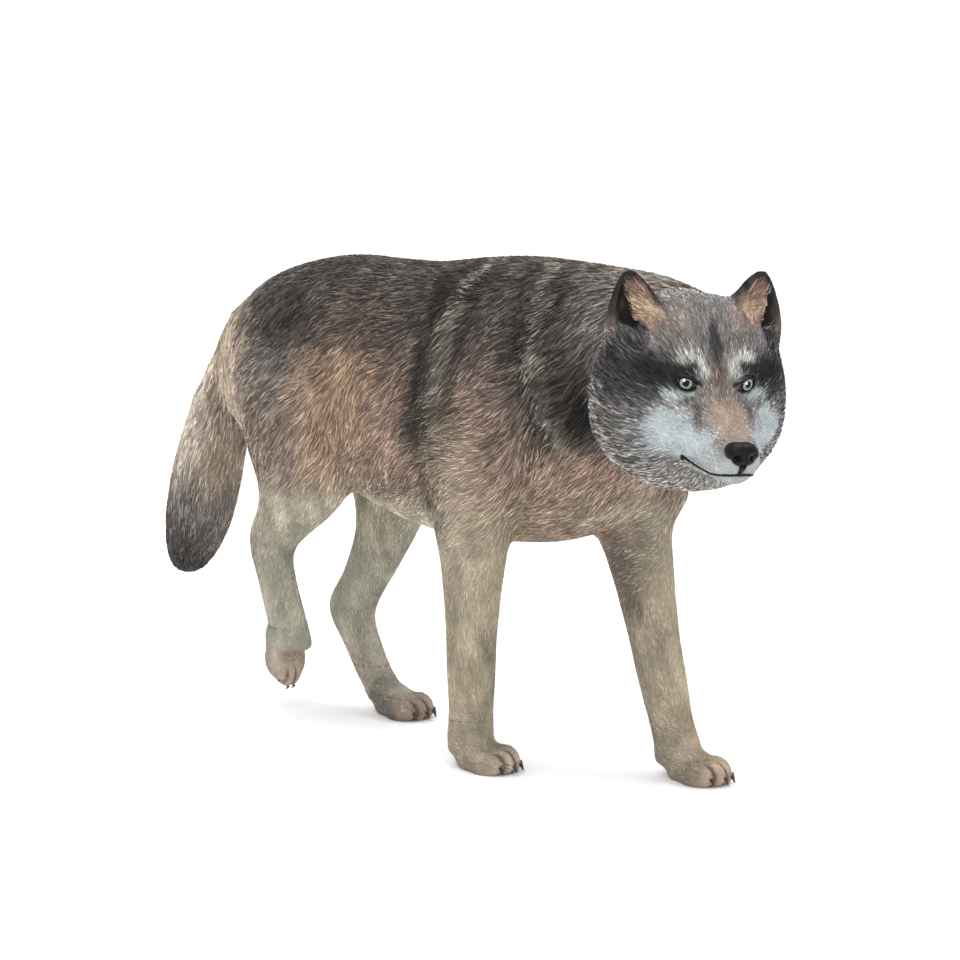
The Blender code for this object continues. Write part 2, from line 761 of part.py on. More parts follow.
def fewer_faces(obj, target, kept=()):
    """Collapses edges until about target faces are left, and leaves the kept vertices alone."""
    free = obj.vertex_groups.new(name="free")
    free.add([v.index for v in obj.data.vertices], 1.0, "REPLACE")
    free.add(list(kept), 0.0, "REPLACE")
    triangles = sum(len(face.vertices) - 2 for face in obj.data.polygons)
    fewer = obj.modifiers.new("fewer", "DECIMATE")
    fewer.ratio = target / triangles
    fewer.vertex_group = free.name
    fewer.use_collapse_triangulate = True
    bake(obj)
    obj.vertex_groups.clear()


def face_vertices(obj):
    """The vertices round the eyes, nose and mouth."""
    to_head = head_matrix().inverted()
    found = []
    for vert in obj.data.vertices:
        local = to_head @ vert.co
        if abs(local.x) < 13 and -36 < local.y < -10 and -19.5 < local.z < 7:
            found.append(vert.index)
    return found


def thin_out(obj):
    """Fewer faces in two passes, so that the face keeps the finer ones of the first pass."""
    fewer_faces(obj, FIRST_PASS_FACES)
    fewer_faces(obj, MOST_FACES, kept=face_vertices(obj))


def centre_on_origin(obj):
    """The bounding box stands on Z = 0 with its middle on the Z axis, in metres."""
    xs = [v.co.x for v in obj.data.vertices]
    ys = [v.co.y for v in obj.data.vertices]
    shift = Vector((-(min(xs) + max(xs)) / 2, -(min(ys) + max(ys)) / 2, 0))
    obj.data.transform(Matrix.Scale(MM, 4) @ Matrix.Translation(shift))


def coat_material():
    material = bpy.data.materials.new("painted_coat_grey_brown")
    material.use_nodes = True
    shader = material.node_tree.nodes["Principled BSDF"]
    shader.inputs["Base Color"].default_value = (0.17, 0.125, 0.09, 1)
    shader.inputs["Roughness"].default_value = 0.6
    return material


def build():
    clear_scene()
    head = head_matrix()
    right_paw_y, left_paw_y = BREAST_Y + FRONT_RIGHT_STEP, BREAST_Y + FRONT_LEFT_STEP
    masses = [
        torso(),
        front_leg("right_front_leg", FRONT_RIGHT_X, BREAST_Y + 20, right_paw_y, 1.55, 1.61, 1.1),
        front_leg("left_front_leg", FRONT_LEFT_X, BREAST_Y + 14, left_paw_y, 0.33, 0.65, 0.94),
        left_hind_leg(),
        right_hind_leg(),
        tail(),
        skull(head),
        muzzle(head),
        ear(-1, head),
        ear(1, head),
    ]
    masses += face_masses(head)
    body = skin(joined("wolf_casting", masses), COARSE_STEP, 6)

    tree = BVHTree.FromObject(body, bpy.context.evaluated_depsgraph_get())
    details = [body]
    details += body_folds(tree)
    details += paw("right_front_paw", standing(FRONT_RIGHT_X, right_paw_y, 6))
    details += paw("left_front_paw", standing(FRONT_LEFT_X, left_paw_y, 2))
    left_hind_paw = standing(HIND_LEFT_X, RUMP_Y - HIND_LEFT_STEP, 4)
    details += paw("left_hind_paw", left_hind_paw, PAW_HALF_WIDTH * 0.92)
    details += lifted_paw()
    details.append(dewclaw("right_dewclaw", FRONT_RIGHT_X, right_paw_y + RIGHT_DEWCLAW_BACK))
    details.append(dewclaw("left_dewclaw", FRONT_LEFT_X, left_paw_y + LEFT_DEWCLAW_BACK))
    details += ruff_locks(head)
    details += tail_locks()
    details += eye_pair(tree, head)
    details.append(nose_pad(head))
    body = skin(joined("wolf_casting", details), FINE_STEP, 2)

    cutters = mouth_line(tree, head) + [ear_hollow(-1, head), ear_hollow(1, head)]
    for cutter in cutters:
        boolean(body, cutter, "DIFFERENCE")
    body = skin(body, FINE_STEP, 1)

    thin_out(body)
    flat_soles(body)
    centre_on_origin(body)
    body.name = "wolf_casting"
    body.data.name = "wolf_casting"
    body.data.materials.clear()
    body.data.materials.append(coat_material())
    for face in body.data.polygons:
        face.material_index = 0


build()
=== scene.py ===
# %% [markdown]
# # A walking wolf, cast in one piece and painted by hand
# The real figurine is one casting whose coat is carved into the mould and then painted with an
# airbrush and fine brushes. The CAD solid has its large forms. This lesson adds what a hand would
# add: a smooth skin, a coat of small locks combed along the body, the paint, glossy eyes, a black
# nose and claws. Everything is in metres, in the frame of the CAD solid, but sizes are read more
# easily in millimetres, so MM turns one into the other.

# %% Load the frame
import math
import time

import bmesh
import bpy
import numpy as np
from mathutils import Matrix, Vector
from mathutils.bvhtree import BVHTree


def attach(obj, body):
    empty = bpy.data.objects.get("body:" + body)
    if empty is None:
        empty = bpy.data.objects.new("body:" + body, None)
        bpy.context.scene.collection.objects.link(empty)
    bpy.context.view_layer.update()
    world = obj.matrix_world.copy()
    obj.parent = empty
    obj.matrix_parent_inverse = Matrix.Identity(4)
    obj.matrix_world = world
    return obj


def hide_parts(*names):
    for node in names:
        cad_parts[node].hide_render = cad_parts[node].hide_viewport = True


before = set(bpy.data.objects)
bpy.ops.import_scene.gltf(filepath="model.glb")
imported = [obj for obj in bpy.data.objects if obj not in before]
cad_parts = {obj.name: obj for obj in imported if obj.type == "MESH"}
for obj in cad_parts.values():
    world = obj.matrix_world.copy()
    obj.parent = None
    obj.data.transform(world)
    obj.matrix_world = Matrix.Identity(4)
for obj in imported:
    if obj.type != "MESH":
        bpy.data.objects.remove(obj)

MM = 0.001
started = time.time()
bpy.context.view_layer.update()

# %% [markdown]
# ## Small helpers
# Colours are chosen as sRGB hex values, as a painter reads them from a chart, and the shader wants
# them linear. Operators act on all that is selected, so `only` leaves one object selected, `fresh`
# adds one primitive with nothing else selected, `edit_all` does one edit-mode step on a whole mesh
# and `modify` applies one modifier. `moved` and `turned` are a place and a turn. `node` adds one
# shader node with its settings and its links.

# %% Helpers for colour, selection and shader nodes
def srgb(code):
    return np.array([int(code[i : i + 2], 16) / 255 for i in (1, 3, 5)])


def to_linear(colour):
    colour = np.asarray(colour, float)
    return np.where(colour <= 0.04045, colour / 12.92, ((colour + 0.055) / 1.055) ** 2.4)


def shade(code):
    return (*to_linear(srgb(code)), 1.0)


def only(obj):
    if bpy.context.object and bpy.context.object.mode != "OBJECT":
        bpy.ops.object.mode_set(mode="OBJECT")
    bpy.ops.object.select_all(action="DESELECT")
    obj.select_set(True)
    bpy.context.view_layer.objects.active = obj


def fresh(name, add, **settings):
    bpy.ops.object.select_all(action="DESELECT")
    add(**settings)
    made = bpy.context.object
    made.name = name
    return made


def edit_all(obj, step, **settings):
    only(obj)
    bpy.ops.object.mode_set(mode="EDIT")
    bpy.ops.mesh.select_all(action="SELECT")
    step(**settings)
    bpy.ops.object.mode_set(mode="OBJECT")


def face_outwards(obj):
    edit_all(obj, bpy.ops.mesh.normals_make_consistent, inside=False)


def modify(obj, kind, **settings):
    only(obj)
    step = obj.modifiers.new(kind.lower(), kind)
    for name, value in settings.items():
        setattr(step, name, value)
    bpy.ops.object.modifier_apply(modifier=step.name)


def tell(obj):
    print(obj.name, "has", len(obj.data.polygons), "faces")


def moved(x, y, z):
    return Matrix.Translation((x, y, z))


def turned(degrees, axis):
    return Matrix.Rotation(math.radians(degrees), 4, axis)


def node(tree, kind, links=(), inputs=(), stops=(), **settings):
    """Adds a shader node. The stops of a colour ramp are given as (position, hex)."""
    made = tree.nodes.new(kind)
    for name, value in settings.items():
        setattr(made, name, value)
    for socket, value in dict(inputs).items():
        made.inputs[socket].default_value = value
    for socket, source in dict(links).items():
        tree.links.new(source, made.inputs[socket])
    for number, (position, code) in enumerate(stops):
        stop = made.color_ramp.elements[number] if number < 2 else made.color_ramp.elements.new(position)
        stop.position = position
        stop.color = shade(code)
    return made


def new_material(name):
    """A material with its node tree, its shader and the coordinates of the object that wears it."""
    material = bpy.data.materials.new(name)
    material.use_nodes = True
    tree = material.node_tree
    place = node(tree, "ShaderNodeTexCoord").outputs["Object"]
    return material, tree, tree.nodes["Principled BSDF"], place


# %% [markdown]
# ## The camera
# The photograph looks at the wolf from its front right, a little from above, with a long lens.
# The view is 46 degrees round from the wolf's front and 10 degrees up, one metre away.

# %% Camera
VIEW_AROUND, VIEW_UP, VIEW_AWAY = -46.0, 10.0, 1.0
VIEW_TARGET = Vector((20.66, 11.68, 70.0)) * MM
VIEW_LENS, VIEW_FILM = 135.70, 36.0
around, up = math.radians(VIEW_AROUND), math.radians(VIEW_UP)
towards_lens = Vector((math.sin(around) * math.cos(up), -math.cos(around) * math.cos(up), math.sin(up)))
bpy.ops.object.camera_add(
    location=VIEW_TARGET + towards_lens * VIEW_AWAY,
    rotation=towards_lens.to_track_quat("Z", "Y").to_euler(),
)
camera = bpy.context.object
camera.name = "camera"
camera.data.lens = VIEW_LENS
camera.data.sensor_width = VIEW_FILM
bpy.context.scene.camera = camera
print("camera at", [round(v, 4) for v in camera.location])

# %% [markdown]
# ## Floor and light
# The photograph has a plain white ground and soft, nearly even light from above and in front.
# A pale floor, two large soft lamps and a bright pale surround give the same.

# %% Floor and lamps
FLOOR_SIZE, SURROUND = 30.0, 1.06
floor = fresh("pale_floor", bpy.ops.mesh.primitive_plane_add, size=FLOOR_SIZE, location=(0, 0, 0))
floor_paint, tree, shader, place = new_material("matt_white_paper")
shader.inputs["Roughness"].default_value = 0.9
grain = node(tree, "ShaderNodeTexNoise", {"Vector": place}, {"Scale": 900.0})
tint = node(
    tree, "ShaderNodeValToRGB", {"Fac": grain.outputs["Fac"]},
    stops=[(0.0, "#fbfbfb"), (1.0, "#ffffff")],
)
tree.links.new(tint.outputs["Color"], shader.inputs["Base Color"])
floor.data.materials.append(floor_paint)


def soft_lamp(name, place, aim, size, watts):
    away = (Vector(place) - Vector(aim)).normalized()
    bpy.ops.object.light_add(
        type="AREA", location=place, rotation=away.to_track_quat("Z", "Y").to_euler()
    )
    lamp = bpy.context.object
    lamp.name = name
    lamp.data.shape = "SQUARE"
    lamp.data.size = size
    lamp.data.energy = watts


soft_lamp("key_lamp", (-0.75, -0.55, 0.75), (0, 0, 0.07), 0.5, 4.5)
soft_lamp("top_lamp", (0.1, 0.0, 1.1), (0, 0, 0.07), 0.8, 7.0)
world = bpy.context.scene.world or bpy.data.worlds.new("surround")
bpy.context.scene.world = world
world.use_nodes = True
world.node_tree.nodes["Background"].inputs["Color"].default_value = shade("#fafbfc")
world.node_tree.nodes["Background"].inputs["Strength"].default_value = SURROUND
bpy.context.scene.view_settings.view_transform = "Standard"

# %% [markdown]
# ## The skin
# The CAD mesh is loose triangles, some of them 4 mm wide. A copy of it is merged, wrapped in one
# even voxel skin and smoothed, which takes the facets away as sanding would. The head has finer
# forms, so it gets a skin of its own with smaller voxels. The two meet behind the ruff.

# %% The head's own frame
HEAD_PLACE = Vector((-7.79, -91.81, 110.8)) * MM
HEAD_TURN, HEAD_DIP, HEAD_TILT = 28.0, 6.0, 2.5
head_place = Matrix.Translation(HEAD_PLACE) @ turned(-HEAD_TURN, "Z") @ turned(HEAD_DIP, "X")
head_place = head_place @ turned(HEAD_TILT, "Y")
head_axes = head_place.to_3x3()
head_back = (head_axes @ Vector((0, 1, 0))).normalized()
BODY_MIDDLE = 4.2


def in_head(points_mm):
    """Points in millimetres, read in the head's own frame: the nose points along -Y."""
    inverse = np.array(head_axes.inverted())
    return (points_mm - np.array(HEAD_PLACE) / MM) @ inverse.T


def from_head(x, y, z):
    return head_place @ (Vector((x, y, z)) * MM)


# %% Cuts, and even skins between them
UP = Vector((0, 0, 1))
ABOVE_LEGS, PAW_TOP, LIFTED_PAW_TOP = 70 * MM, 13.5 * MM, 27 * MM
LIFTED_PAW_LEFT, LIFTED_PAW_FRONT, LIFTED_LEG_TOP = 3 * MM, 48 * MM, 45 * MM
# how far skins overlap where they meet, the spare length that is cut off after sanding, and how
# near two points are to be one
LAP, SPARE, TOUCHING = 0.4 * MM, 6 * MM, 1e-6


def in_lifted_paw(place):
    return place.x < LIFTED_PAW_LEFT and place.y > LIFTED_PAW_FRONT and place.z < LIFTED_LEG_TOP


def cut(obj, where, point, way, fill=True):
    """Bisects the faces that `where` picks, and clears what lies on the side that `way` points to."""
    only(obj)
    bpy.ops.object.mode_set(mode="EDIT")
    mesh = bmesh.from_edit_mesh(obj.data)
    for face in mesh.faces:
        face.select_set(where(face.calc_center_median()))
    bmesh.update_edit_mesh(obj.data)
    bpy.ops.mesh.bisect(plane_co=point, plane_no=way, clear_outer=True, use_fill=fill)
    bpy.ops.object.mode_set(mode="OBJECT")


def casting_copy(name):
    """A merged copy of the CAD casting, as one closed mesh with no material."""
    copy = bpy.data.objects.new(name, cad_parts["wolf_casting"].data.copy())
    bpy.context.scene.collection.objects.link(copy)
    only(copy)
    copy.data.materials.clear()
    edit_all(copy, bpy.ops.mesh.remove_doubles, threshold=TOUCHING)
    for attribute in list(copy.data.attributes):
        if not attribute.is_required and not attribute.name.startswith("."):
            copy.data.attributes.remove(attribute)
    return copy


def even_skin(obj, voxel_mm, smoothing):
    """Wraps the mesh in even voxels and sands it smooth."""
    modify(obj, "REMESH", mode="VOXEL", voxel_size=voxel_mm * MM)
    modify(obj, "SMOOTH", factor=0.5, iterations=smoothing)
    bpy.ops.object.shade_smooth()
    return obj


def everywhere(place):
    return True


def above_legs(place):
    return place.z > ABOVE_LEGS


# %% The body's skin
BODY_VOXEL, HEAD_VOXEL, PAW_VOXEL = 0.95, 0.45, 0.42
# how far behind the head's middle the body's skin starts, and the head's skin ends
BODY_STARTS, HEAD_ENDS, HEAD_SPARE = 15.0, 16.5, 7.5


def set_on_casting(skin, share_at):
    """Sanding thins the legs, so their points go back onto the casting where skins meet."""
    casting = casting_copy("guide")
    surface = BVHTree.FromObject(casting, bpy.context.evaluated_depsgraph_get())
    for point in skin.data.vertices:
        share = min(max(share_at(point.co.z / MM), 0), 1)
        if share > 0:
            point.co += (surface.find_nearest(point.co)[0] - point.co) * share
    bpy.data.objects.remove(casting, do_unlink=True)


body_skin = even_skin(casting_copy("body_skin"), BODY_VOXEL, 6)
# sanded above 55 mm, and wholly on the casting below 40 mm
set_on_casting(body_skin, lambda z: (55 - z) / 15)
cut(body_skin, above_legs, from_head(0, BODY_STARTS, 0), -head_back)
cut(body_skin, everywhere, (0, 0, PAW_TOP - LAP), -UP)
cut(body_skin, in_lifted_paw, (0, 0, LIFTED_PAW_TOP - LAP), -UP)
tell(body_skin)

# %% The head's skin, with finer voxels
head_skin = casting_copy("head_skin")
cut(head_skin, everywhere, (0, 0, ABOVE_LEGS), -UP)
cut(head_skin, everywhere, from_head(0, HEAD_ENDS + HEAD_SPARE, 0), head_back)
even_skin(head_skin, HEAD_VOXEL, 4)
cut(head_skin, everywhere, from_head(0, HEAD_ENDS, 0), head_back)
tell(head_skin)

# %% The paws' skins, finest of all
UNDER_FLOOR = (0, 0, -5 * MM)
paws_skin = casting_copy("planted_paws_skin")
cut(paws_skin, everywhere, (0, 0, PAW_TOP + SPARE), UP)
lifted_skin = casting_copy("lifted_paw_skin")
cut(lifted_skin, everywhere, (0, 0, LIFTED_PAW_TOP + SPARE), UP)
cut(lifted_skin, everywhere, (LIFTED_PAW_LEFT, 0, 0), (1, 0, 0))
cut(lifted_skin, everywhere, (0, LIFTED_PAW_FRONT, 0), (0, -1, 0))
cut(paws_skin, in_lifted_paw, UNDER_FLOOR, UP, fill=False)
for skin, top, smoothing in ((paws_skin, PAW_TOP, 2), (lifted_skin, LIFTED_PAW_TOP, 12)):
    even_skin(skin, PAW_VOXEL, smoothing)
    # wholly on the casting from 1 mm under its top, where it meets the leg
    set_on_casting(skin, lambda z: (z - top / MM + 4) / 3)
    cut(skin, everywhere, (0, 0, top), UP)
    tell(skin)

# %% [markdown]
# ## The paint
# The painter sprays a grey-brown ground and then mists colour over it in soft strokes: a dark
# saddle, rust on the flank, cream below, and a pale mask. Each stroke here is a soft ellipsoid or
# a soft line with a paint. A paint has a colour and a grizzle, which says how much light and dark
# strands differ. Strokes on the body are mirrored at the middle of the body, and those on the
# head at the middle of the face. Sizes are in millimetres.

# %% Paint chart
PAINTS = {
    "ground": ("#6b6159", 0.40),
    "saddle": ("#45413e", 0.38),
    "black_brown": ("#2d2a28", 0.30),
    "soot": ("#161515", 0.25),
    "umber": ("#73625a", 0.36),
    "slate": ("#7d7874", 0.28),
    "rust": ("#a28871", 0.22),
    "tan": ("#b79f88", 0.20),
    "rose_tan": ("#a88f80", 0.22),
    "fawn": ("#c8b5a0", 0.14),
    "cream": ("#c8bea8", 0.10),
    "crest_highlight": ("#79776b", 0.36),
    "leg_cream": ("#b0a48d", 0.08),
    "leg_gold": ("#ad8c66", 0.08),
    "bone": ("#b0ab9a", 0.06),
    "toe_rose": ("#c2a998", 0.08),
    "tail_cream": ("#cdc0b2", 0.20),
    "tail_grey": ("#6a6664", 0.25),
    "tail_dark": ("#3d3a39", 0.25),
    "brow_grey": ("#777472", 0.26),
    "brow_pale": ("#c6c4be", 0.12),
    "mask_white": ("#c3cccf", 0.05),
    "lip_white": ("#c0c3c3", 0.05),
    "bridge": ("#a89585", 0.14),
    "bridge_dark": ("#6d5f55", 0.25),
    "ruff_grey": ("#85827f", 0.48),
    "head_ground": ("#85827f", 0.50),
    "ruff_dark": ("#3e3c3c", 0.50),
    "ruff_pale": ("#9c9890", 0.42),
    "brow_rose": ("#a08a80", 0.26),
    # painted shade in the clefts between the toes
    "cleft": ("#4b3d36", 0.05),
    "ear_black": ("#141313", 0.10),
    "ear_back": ("#47423f", 0.25),
    "ear_tan": ("#c0a78c", 0.18),
    "ear_rose": ("#8d6c60", 0.22),
    "ear_strip": ("#857069", 0.25),
}


def unit(vectors):
    return vectors / np.maximum(np.linalg.norm(vectors, axis=1), 1e-9)[:, None]


def ripple(points, size, seed):
    """A soft random pattern between about -1 and 1, with patches about `size` millimetres wide."""
    dice = np.random.default_rng(seed)
    total = np.zeros(len(points))
    for _ in range(7):
        way = dice.normal(size=3)
        way *= math.pi / (size * np.linalg.norm(way)) * dice.uniform(0.7, 1.4)
        total += np.sin(points @ way + dice.uniform(0, 2 * math.pi))
    return total / 2.6


def above(value, edge, softness):
    """From 0 below the edge to 1 above it, softly."""
    return 1 / (1 + np.exp(np.clip((edge - value) / softness, -40, 40)))


def below(value, edge, softness):
    return above(-value, -edge, softness)


SOFT, CRISP = 0.22, 0.12


def spot(points, centre, radii, softness):
    """How strongly a soft ellipsoid stroke covers each point."""
    away = (points - np.array(centre, float)) / np.array(radii, float)
    return below(np.linalg.norm(away, axis=1), 1, softness)


def line_gap(points, path):
    """The distance of each point from a line through the path's points, seen from the side."""
    gap = np.full(len(points), 1e9)
    flat = points[:, 1:3]
    for start, end in zip(path, path[1:]):
        a, b = np.array(start, float), np.array(end, float)
        t = np.clip(((flat - a) @ (b - a)) / ((b - a) @ (b - a)), 0, 1)
        gap = np.minimum(gap, np.linalg.norm(flat - (a + t[:, None] * (b - a)), axis=1))
    return gap


def lay(colours, paint, cover):
    """Paints over the colours with a paint, as strongly as `cover` says for each point."""
    code, grizzle = PAINTS[paint]
    return colours + (np.append(srgb(code), grizzle) - colours) * cover[:, None]


def brush(colours, strokes, points, softness, share=1):
    for paint, centre, radii, strength in strokes:
        colours = lay(colours, paint, strength * share * spot(points, centre, radii, softness))
    return colours


def ground_coat(paint, points):
    code, grizzle = PAINTS[paint]
    return np.tile(np.append(srgb(code), grizzle), (len(points), 1))


def store_coat(mesh, colours):
    """Keeps sRGB colours on the points of a mesh, turned linear, as the attribute named coat."""
    rgba = np.ones((len(colours), 4), np.float32)
    rgba[:, :3] = to_linear(np.clip(colours, 0, 1))
    coat = mesh.color_attributes.new("coat", "FLOAT_COLOR", "POINT")
    coat.data.foreach_set("color", rgba.ravel())


# %% Where the paws and their toes are
BODY_SHIFT = Vector((4.21, 22.19, 0))
PAWS = {
    # where the paw stands or hangs, how wide its toes spread
    "right_front": (moved(-16.5, -44.0, 0) @ turned(6, "Z"), 1.0),
    "left_front": (moved(13.5, -92.4, 0) @ turned(2, "Z"), 1.0),
    "left_hind": (moved(10.5, 15.0, 0) @ turned(4, "Z"), 1.0),
    "right_hind": (moved(-14.0, 34.2, 18.9) @ turned(74, "X") @ moved(0, 2.0, -5.3), 0.8),
}
# where each toe stands: to the side in toe spacings, then back from the front toes, then up
TOES = [(-1.5, 2.4, -0.3), (-0.5, 0, 0), (0.5, 0, 0), (1.5, 2.4, -0.3)]
TOE_FRONT, TOE_SPACING = -5.98, 3.4
TOES_LOW, TOES_HIGH = (-6.5, -12, -1), (6.5, 2, 8)
CLEFT_WIDTH = 0.13


def shade_toe_clefts(colours, points):
    """Painted shade: dark lines in the clefts between the toes of each paw."""
    for place, spread in PAWS.values():
        back = (Matrix.Translation(BODY_SHIFT) @ place).inverted()
        p = points @ np.array(back.to_3x3()).T + np.array(back.translation)
        side = p[:, 0] / (TOE_SPACING * spread)
        gap = np.abs(side - np.clip(np.round(side), -1, 1))
        near = np.all((p > TOES_LOW) & (p < TOES_HIGH), axis=1)
        line = np.exp(-((gap / CLEFT_WIDTH) ** 2)) * above(-p[:, 1], 4.0 + 0.4 * p[:, 2], 0.5) * near
        colours = lay(colours, "cleft", 0.8 * line)
    return colours


# %% Strokes on the body, legs and tail
# the crests of the two long folds, seen from the side (along, up), painted with a highlight on the crest
# and shadow beside it
REAR_FOLD = [
    (-18, 133), (-15, 127), (-14, 119), (-13.5, 110), (-12.5, 100), (-12, 90), (-12.5, 79), (-12.5, 68),
]
FRONT_FOLD = [(-40, 134), (-43, 129), (-45.5, 121), (-47, 114), (-48.8, 106), (-51.5, 98), (-55, 91)]
FOLDS = [
    # crest, painted shadow behind it (how far, how wide), painted shadow ahead of it, how wide the painted
    # highlight on the crest is
    (REAR_FOLD, 6.6, 3.6, 4.8, 2.0, 2.3),
    (FRONT_FOLD, 4.0, 2.0, 6.0, 1.4, 1.9),
]
BODY_STROKES = [
    # paint, centre (side, along, up), radii, strength
    ("umber", (0, 12, 113), (60, 34, 13), 0.9),
    ("saddle", (0, 20, 130), (60, 62, 15), 1.0),
    ("umber", (0, 22, 122), (60, 16, 6), 0.5),
    ("saddle", (0, 56, 120), (60, 16, 12), 0.9),
    ("black_brown", (0, 50, 115), (60, 9, 6), 0.8),
    ("slate", (0, 49, 99), (60, 14, 11), 0.85),
    ("rose_tan", (0, 8, 86), (60, 32, 13), 0.9),
    ("rust", (0, 30, 95), (60, 15, 15), 0.85),
    ("rust", (0, 22, 104), (60, 16, 5), 0.7),
    ("tan", (0, 44, 97), (60, 3.6, 8), 0.9),
    ("tan", (0, 40, 85), (60, 4.4, 8), 0.95),
    ("tan", (0, 33, 75), (60, 7, 4.5), 0.9),
    ("tan", (0, 18, 67), (60, 14, 4), 0.8),
    ("slate", (0, 47, 78), (60, 4, 6), 0.5),
    ("rose_tan", (0, 55, 78), (60, 20, 12), 0.5),
    ("fawn", (0, 82, 98), (60, 15, 22), 0.9),
    ("cream", (0, 15, 60), (60, 42, 11), 0.95),
    ("cream", (0, 58, 60), (60, 26, 10), 0.7),
    ("umber", (0, -24, 118), (60, 14, 24), 0.5),
    ("saddle", (0, -25, 128), (60, 16, 12), 0.8),
    ("fawn", (0, -22, 80), (60, 12, 17), 0.9),
    ("rose_tan", (0, -30, 97), (60, 10, 9), 0.5),
    ("saddle", (0, -52, 118), (60, 12, 22), 0.8),
    ("soot", (0, -62.5, 102), (60, 4.6, 12), 0.9),
    ("cream", (0, -71.5, 107), (60, 2.6, 10), 0.6),
    ("umber", (0, -34, 92), (60, 4.5, 13), 0.6),
    ("slate", (0, -67, 126), (60, 12, 10), 0.6),
    ("rose_tan", (0, -62, 86), (60, 20, 9), 0.9),
    ("tan", (0, -44, 76), (60, 14, 9), 0.6),
    ("cream", (0, -68, 68), (60, 14, 9), 0.8),
    ("rose_tan", (0, -42, 65), (60, 10, 5), 0.6),
]
LEG_STROKES = [
    ("leg_cream", (16, -25, 30), (13, 22, 42), 1.0),
    ("leg_cream", (16, -70, 30), (13, 26, 42), 1.0),
    ("leg_gold", (20, -78, 30), (8, 12, 40), 0.55),
    ("leg_gold", (9, -30, 34), (4, 8, 30), 0.45),
    ("bone", (12, 48, 30), (14, 30, 30), 1.0),
    ("toe_rose", (15, -36, 3), (12, 9, 6), 0.75),
    ("toe_rose", (15, -82, 3), (12, 9, 6), 0.75),
    ("toe_rose", (12, 26, 3), (12, 9, 6), 0.75),
    ("toe_rose", (14, 53, 14), (9, 7, 6), 0.75),
]
TAIL_STROKES = [
    ("tail_cream", (0, 104, 84), (20, 24, 30), 1.0),
    ("rust", (0, 93, 64), (20, 5, 16), 0.6),
    ("tail_grey", (0, 112, 54), (20, 18, 12), 0.8),
    ("tail_dark", (0, 116, 36), (20, 13, 15), 0.95),
]


def body_paint(points):
    """The coat colour (sRGB) and the grizzle at points of the body, given in millimetres."""
    colours = ground_coat("ground", points)
    p = points.copy()
    p[:, 0] = np.abs(p[:, 0] - BODY_MIDDLE)
    p[:, 1] += 1.6 * ripple(points, 7, 1)
    p[:, 2] += 1.6 * ripple(points, 7, 2)
    colours = brush(colours, BODY_STROKES, p, SOFT)
    # the folds are painted as light and shade: dark painted shadow behind and ahead of each crest, and a
    # pale painted highlight along it
    high = above(p[:, 2], 92, 6)
    low = 0.35 + 0.65 * above(p[:, 2], 84, 3)
    for crest, behind, behind_wide, ahead, ahead_wide, wide in FOLDS:
        rear_gap = line_gap(p - np.array([0, behind, 0]), crest) / behind_wide
        front_gap = line_gap(p + np.array([0, ahead, 0]), crest) / ahead_wide
        crest_gap = line_gap(p, crest) / wide
        colours = lay(colours, "black_brown", 0.9 * low * below(rear_gap, 1, 0.25))
        colours = lay(colours, "black_brown", 0.7 * high * below(front_gap, 1, 0.3))
        colours = lay(colours, "crest_highlight", (0.4 + 0.35 * high) * below(crest_gap, 1, 0.25))
    colours = brush(colours, LEG_STROKES, p, CRISP)
    colours = shade_toe_clefts(colours, points)
    on_tail = above(points[:, 1], 96 - 0.15 * np.clip(90 - points[:, 2], 0, 60), 1.2)
    colours = brush(colours, TAIL_STROKES, p, SOFT, on_tail)
    blotch = 1 + 0.07 * ripple(points, 5, 3) + 0.05 * ripple(points, 2.2, 4)
    colours[:, :3] *= blotch[:, None]
    return colours


# %% Strokes on the head
HEAD_STROKES = [
    # paint, centre (side, along, up) in the head's frame, radii, strength
    ("ruff_grey", (0, 4, -12), (40, 14, 24), 1.0),
    ("ruff_pale", (0, 6, -24), (24, 22, 6), 0.8),
    ("ruff_dark", (20, -2, 4), (9, 14, 8), 0.9),
    ("ruff_dark", (19, -1, -6), (6, 7, 9), 0.2),
    ("brow_grey", (6, -6, 14), (14, 14, 10), 1.0),
    ("brow_rose", (10, -2, 17), (6, 6, 4), 0.55),
    ("ruff_dark", (14, -8, 4), (8, 9, 4.8), 0.95),
    ("soot", (14.0, -9, 4.8), (5.6, 7, 2.6), 0.65),
    ("slate", (6, -14, 0.4), (5.0, 6, 4.2), 0.7),
    ("soot", (0, -8, 11.5), (1.3, 9, 6.5), 0.6),
    ("bridge_dark", (0, -15, 5), (3.4, 5, 4), 0.7),
    ("bridge", (0.0, -21, -4.0), (4.9, 12, 5.6), 0.95),
    ("bridge_dark", (0, -16, 1.6), (3.6, 4, 2.8), 0.3),
    ("brow_pale", (6.6, -13, 8.6), (3.8, 5, 1.6), 1.0),
    ("brow_pale", (4.2, -14, 6.6), (1.7, 4, 2.8), 1.0),
    ("soot", (8.2, -13, 6.6), (3.2, 4, 1.3), 0.7),
    ("mask_white", (12.8, -12, -8.6), (5.6, 9, 5.4), 1.0),
    ("mask_white", (9, -18, -10), (5.4, 10, 5.2), 0.95),
    ("mask_white", (10.2, -13, 0.0), (3.8, 5, 1.4), 0.9),
    ("lip_white", (4, -28, -13), (6, 7, 3.4), 0.9),
    ("lip_white", (0, -24, -17), (9, 10, 2.6), 0.85),
    # painted shade down each side of the muzzle, beside the bridge
    ("slate", (6.6, -18, -3.8), (1.7, 6, 3.6), 0.8),
    ("ruff_dark", (6.9, -17, -3.4), (1.2, 5, 2.6), 0.4),
]

# %% Paint of the ears and the head
# at each height of an ear: its middle, its half width and how far back its hollow lies
EAR_HEIGHTS = [6, 12, 17, 21.5, 25.2, 27.2, 28]
EAR_MIDDLES = [13.6, 14.5, 15.5, 16.5, 17.3, 17.9, 18.0]
EAR_HALVES = [9.0, 9.4, 7.9, 5.6, 3.4, 1.5, 0.5]
EAR_DEPTHS = [7.0, 7.0, 7.4, 8.0, 8.7, 9.2, 9.4]


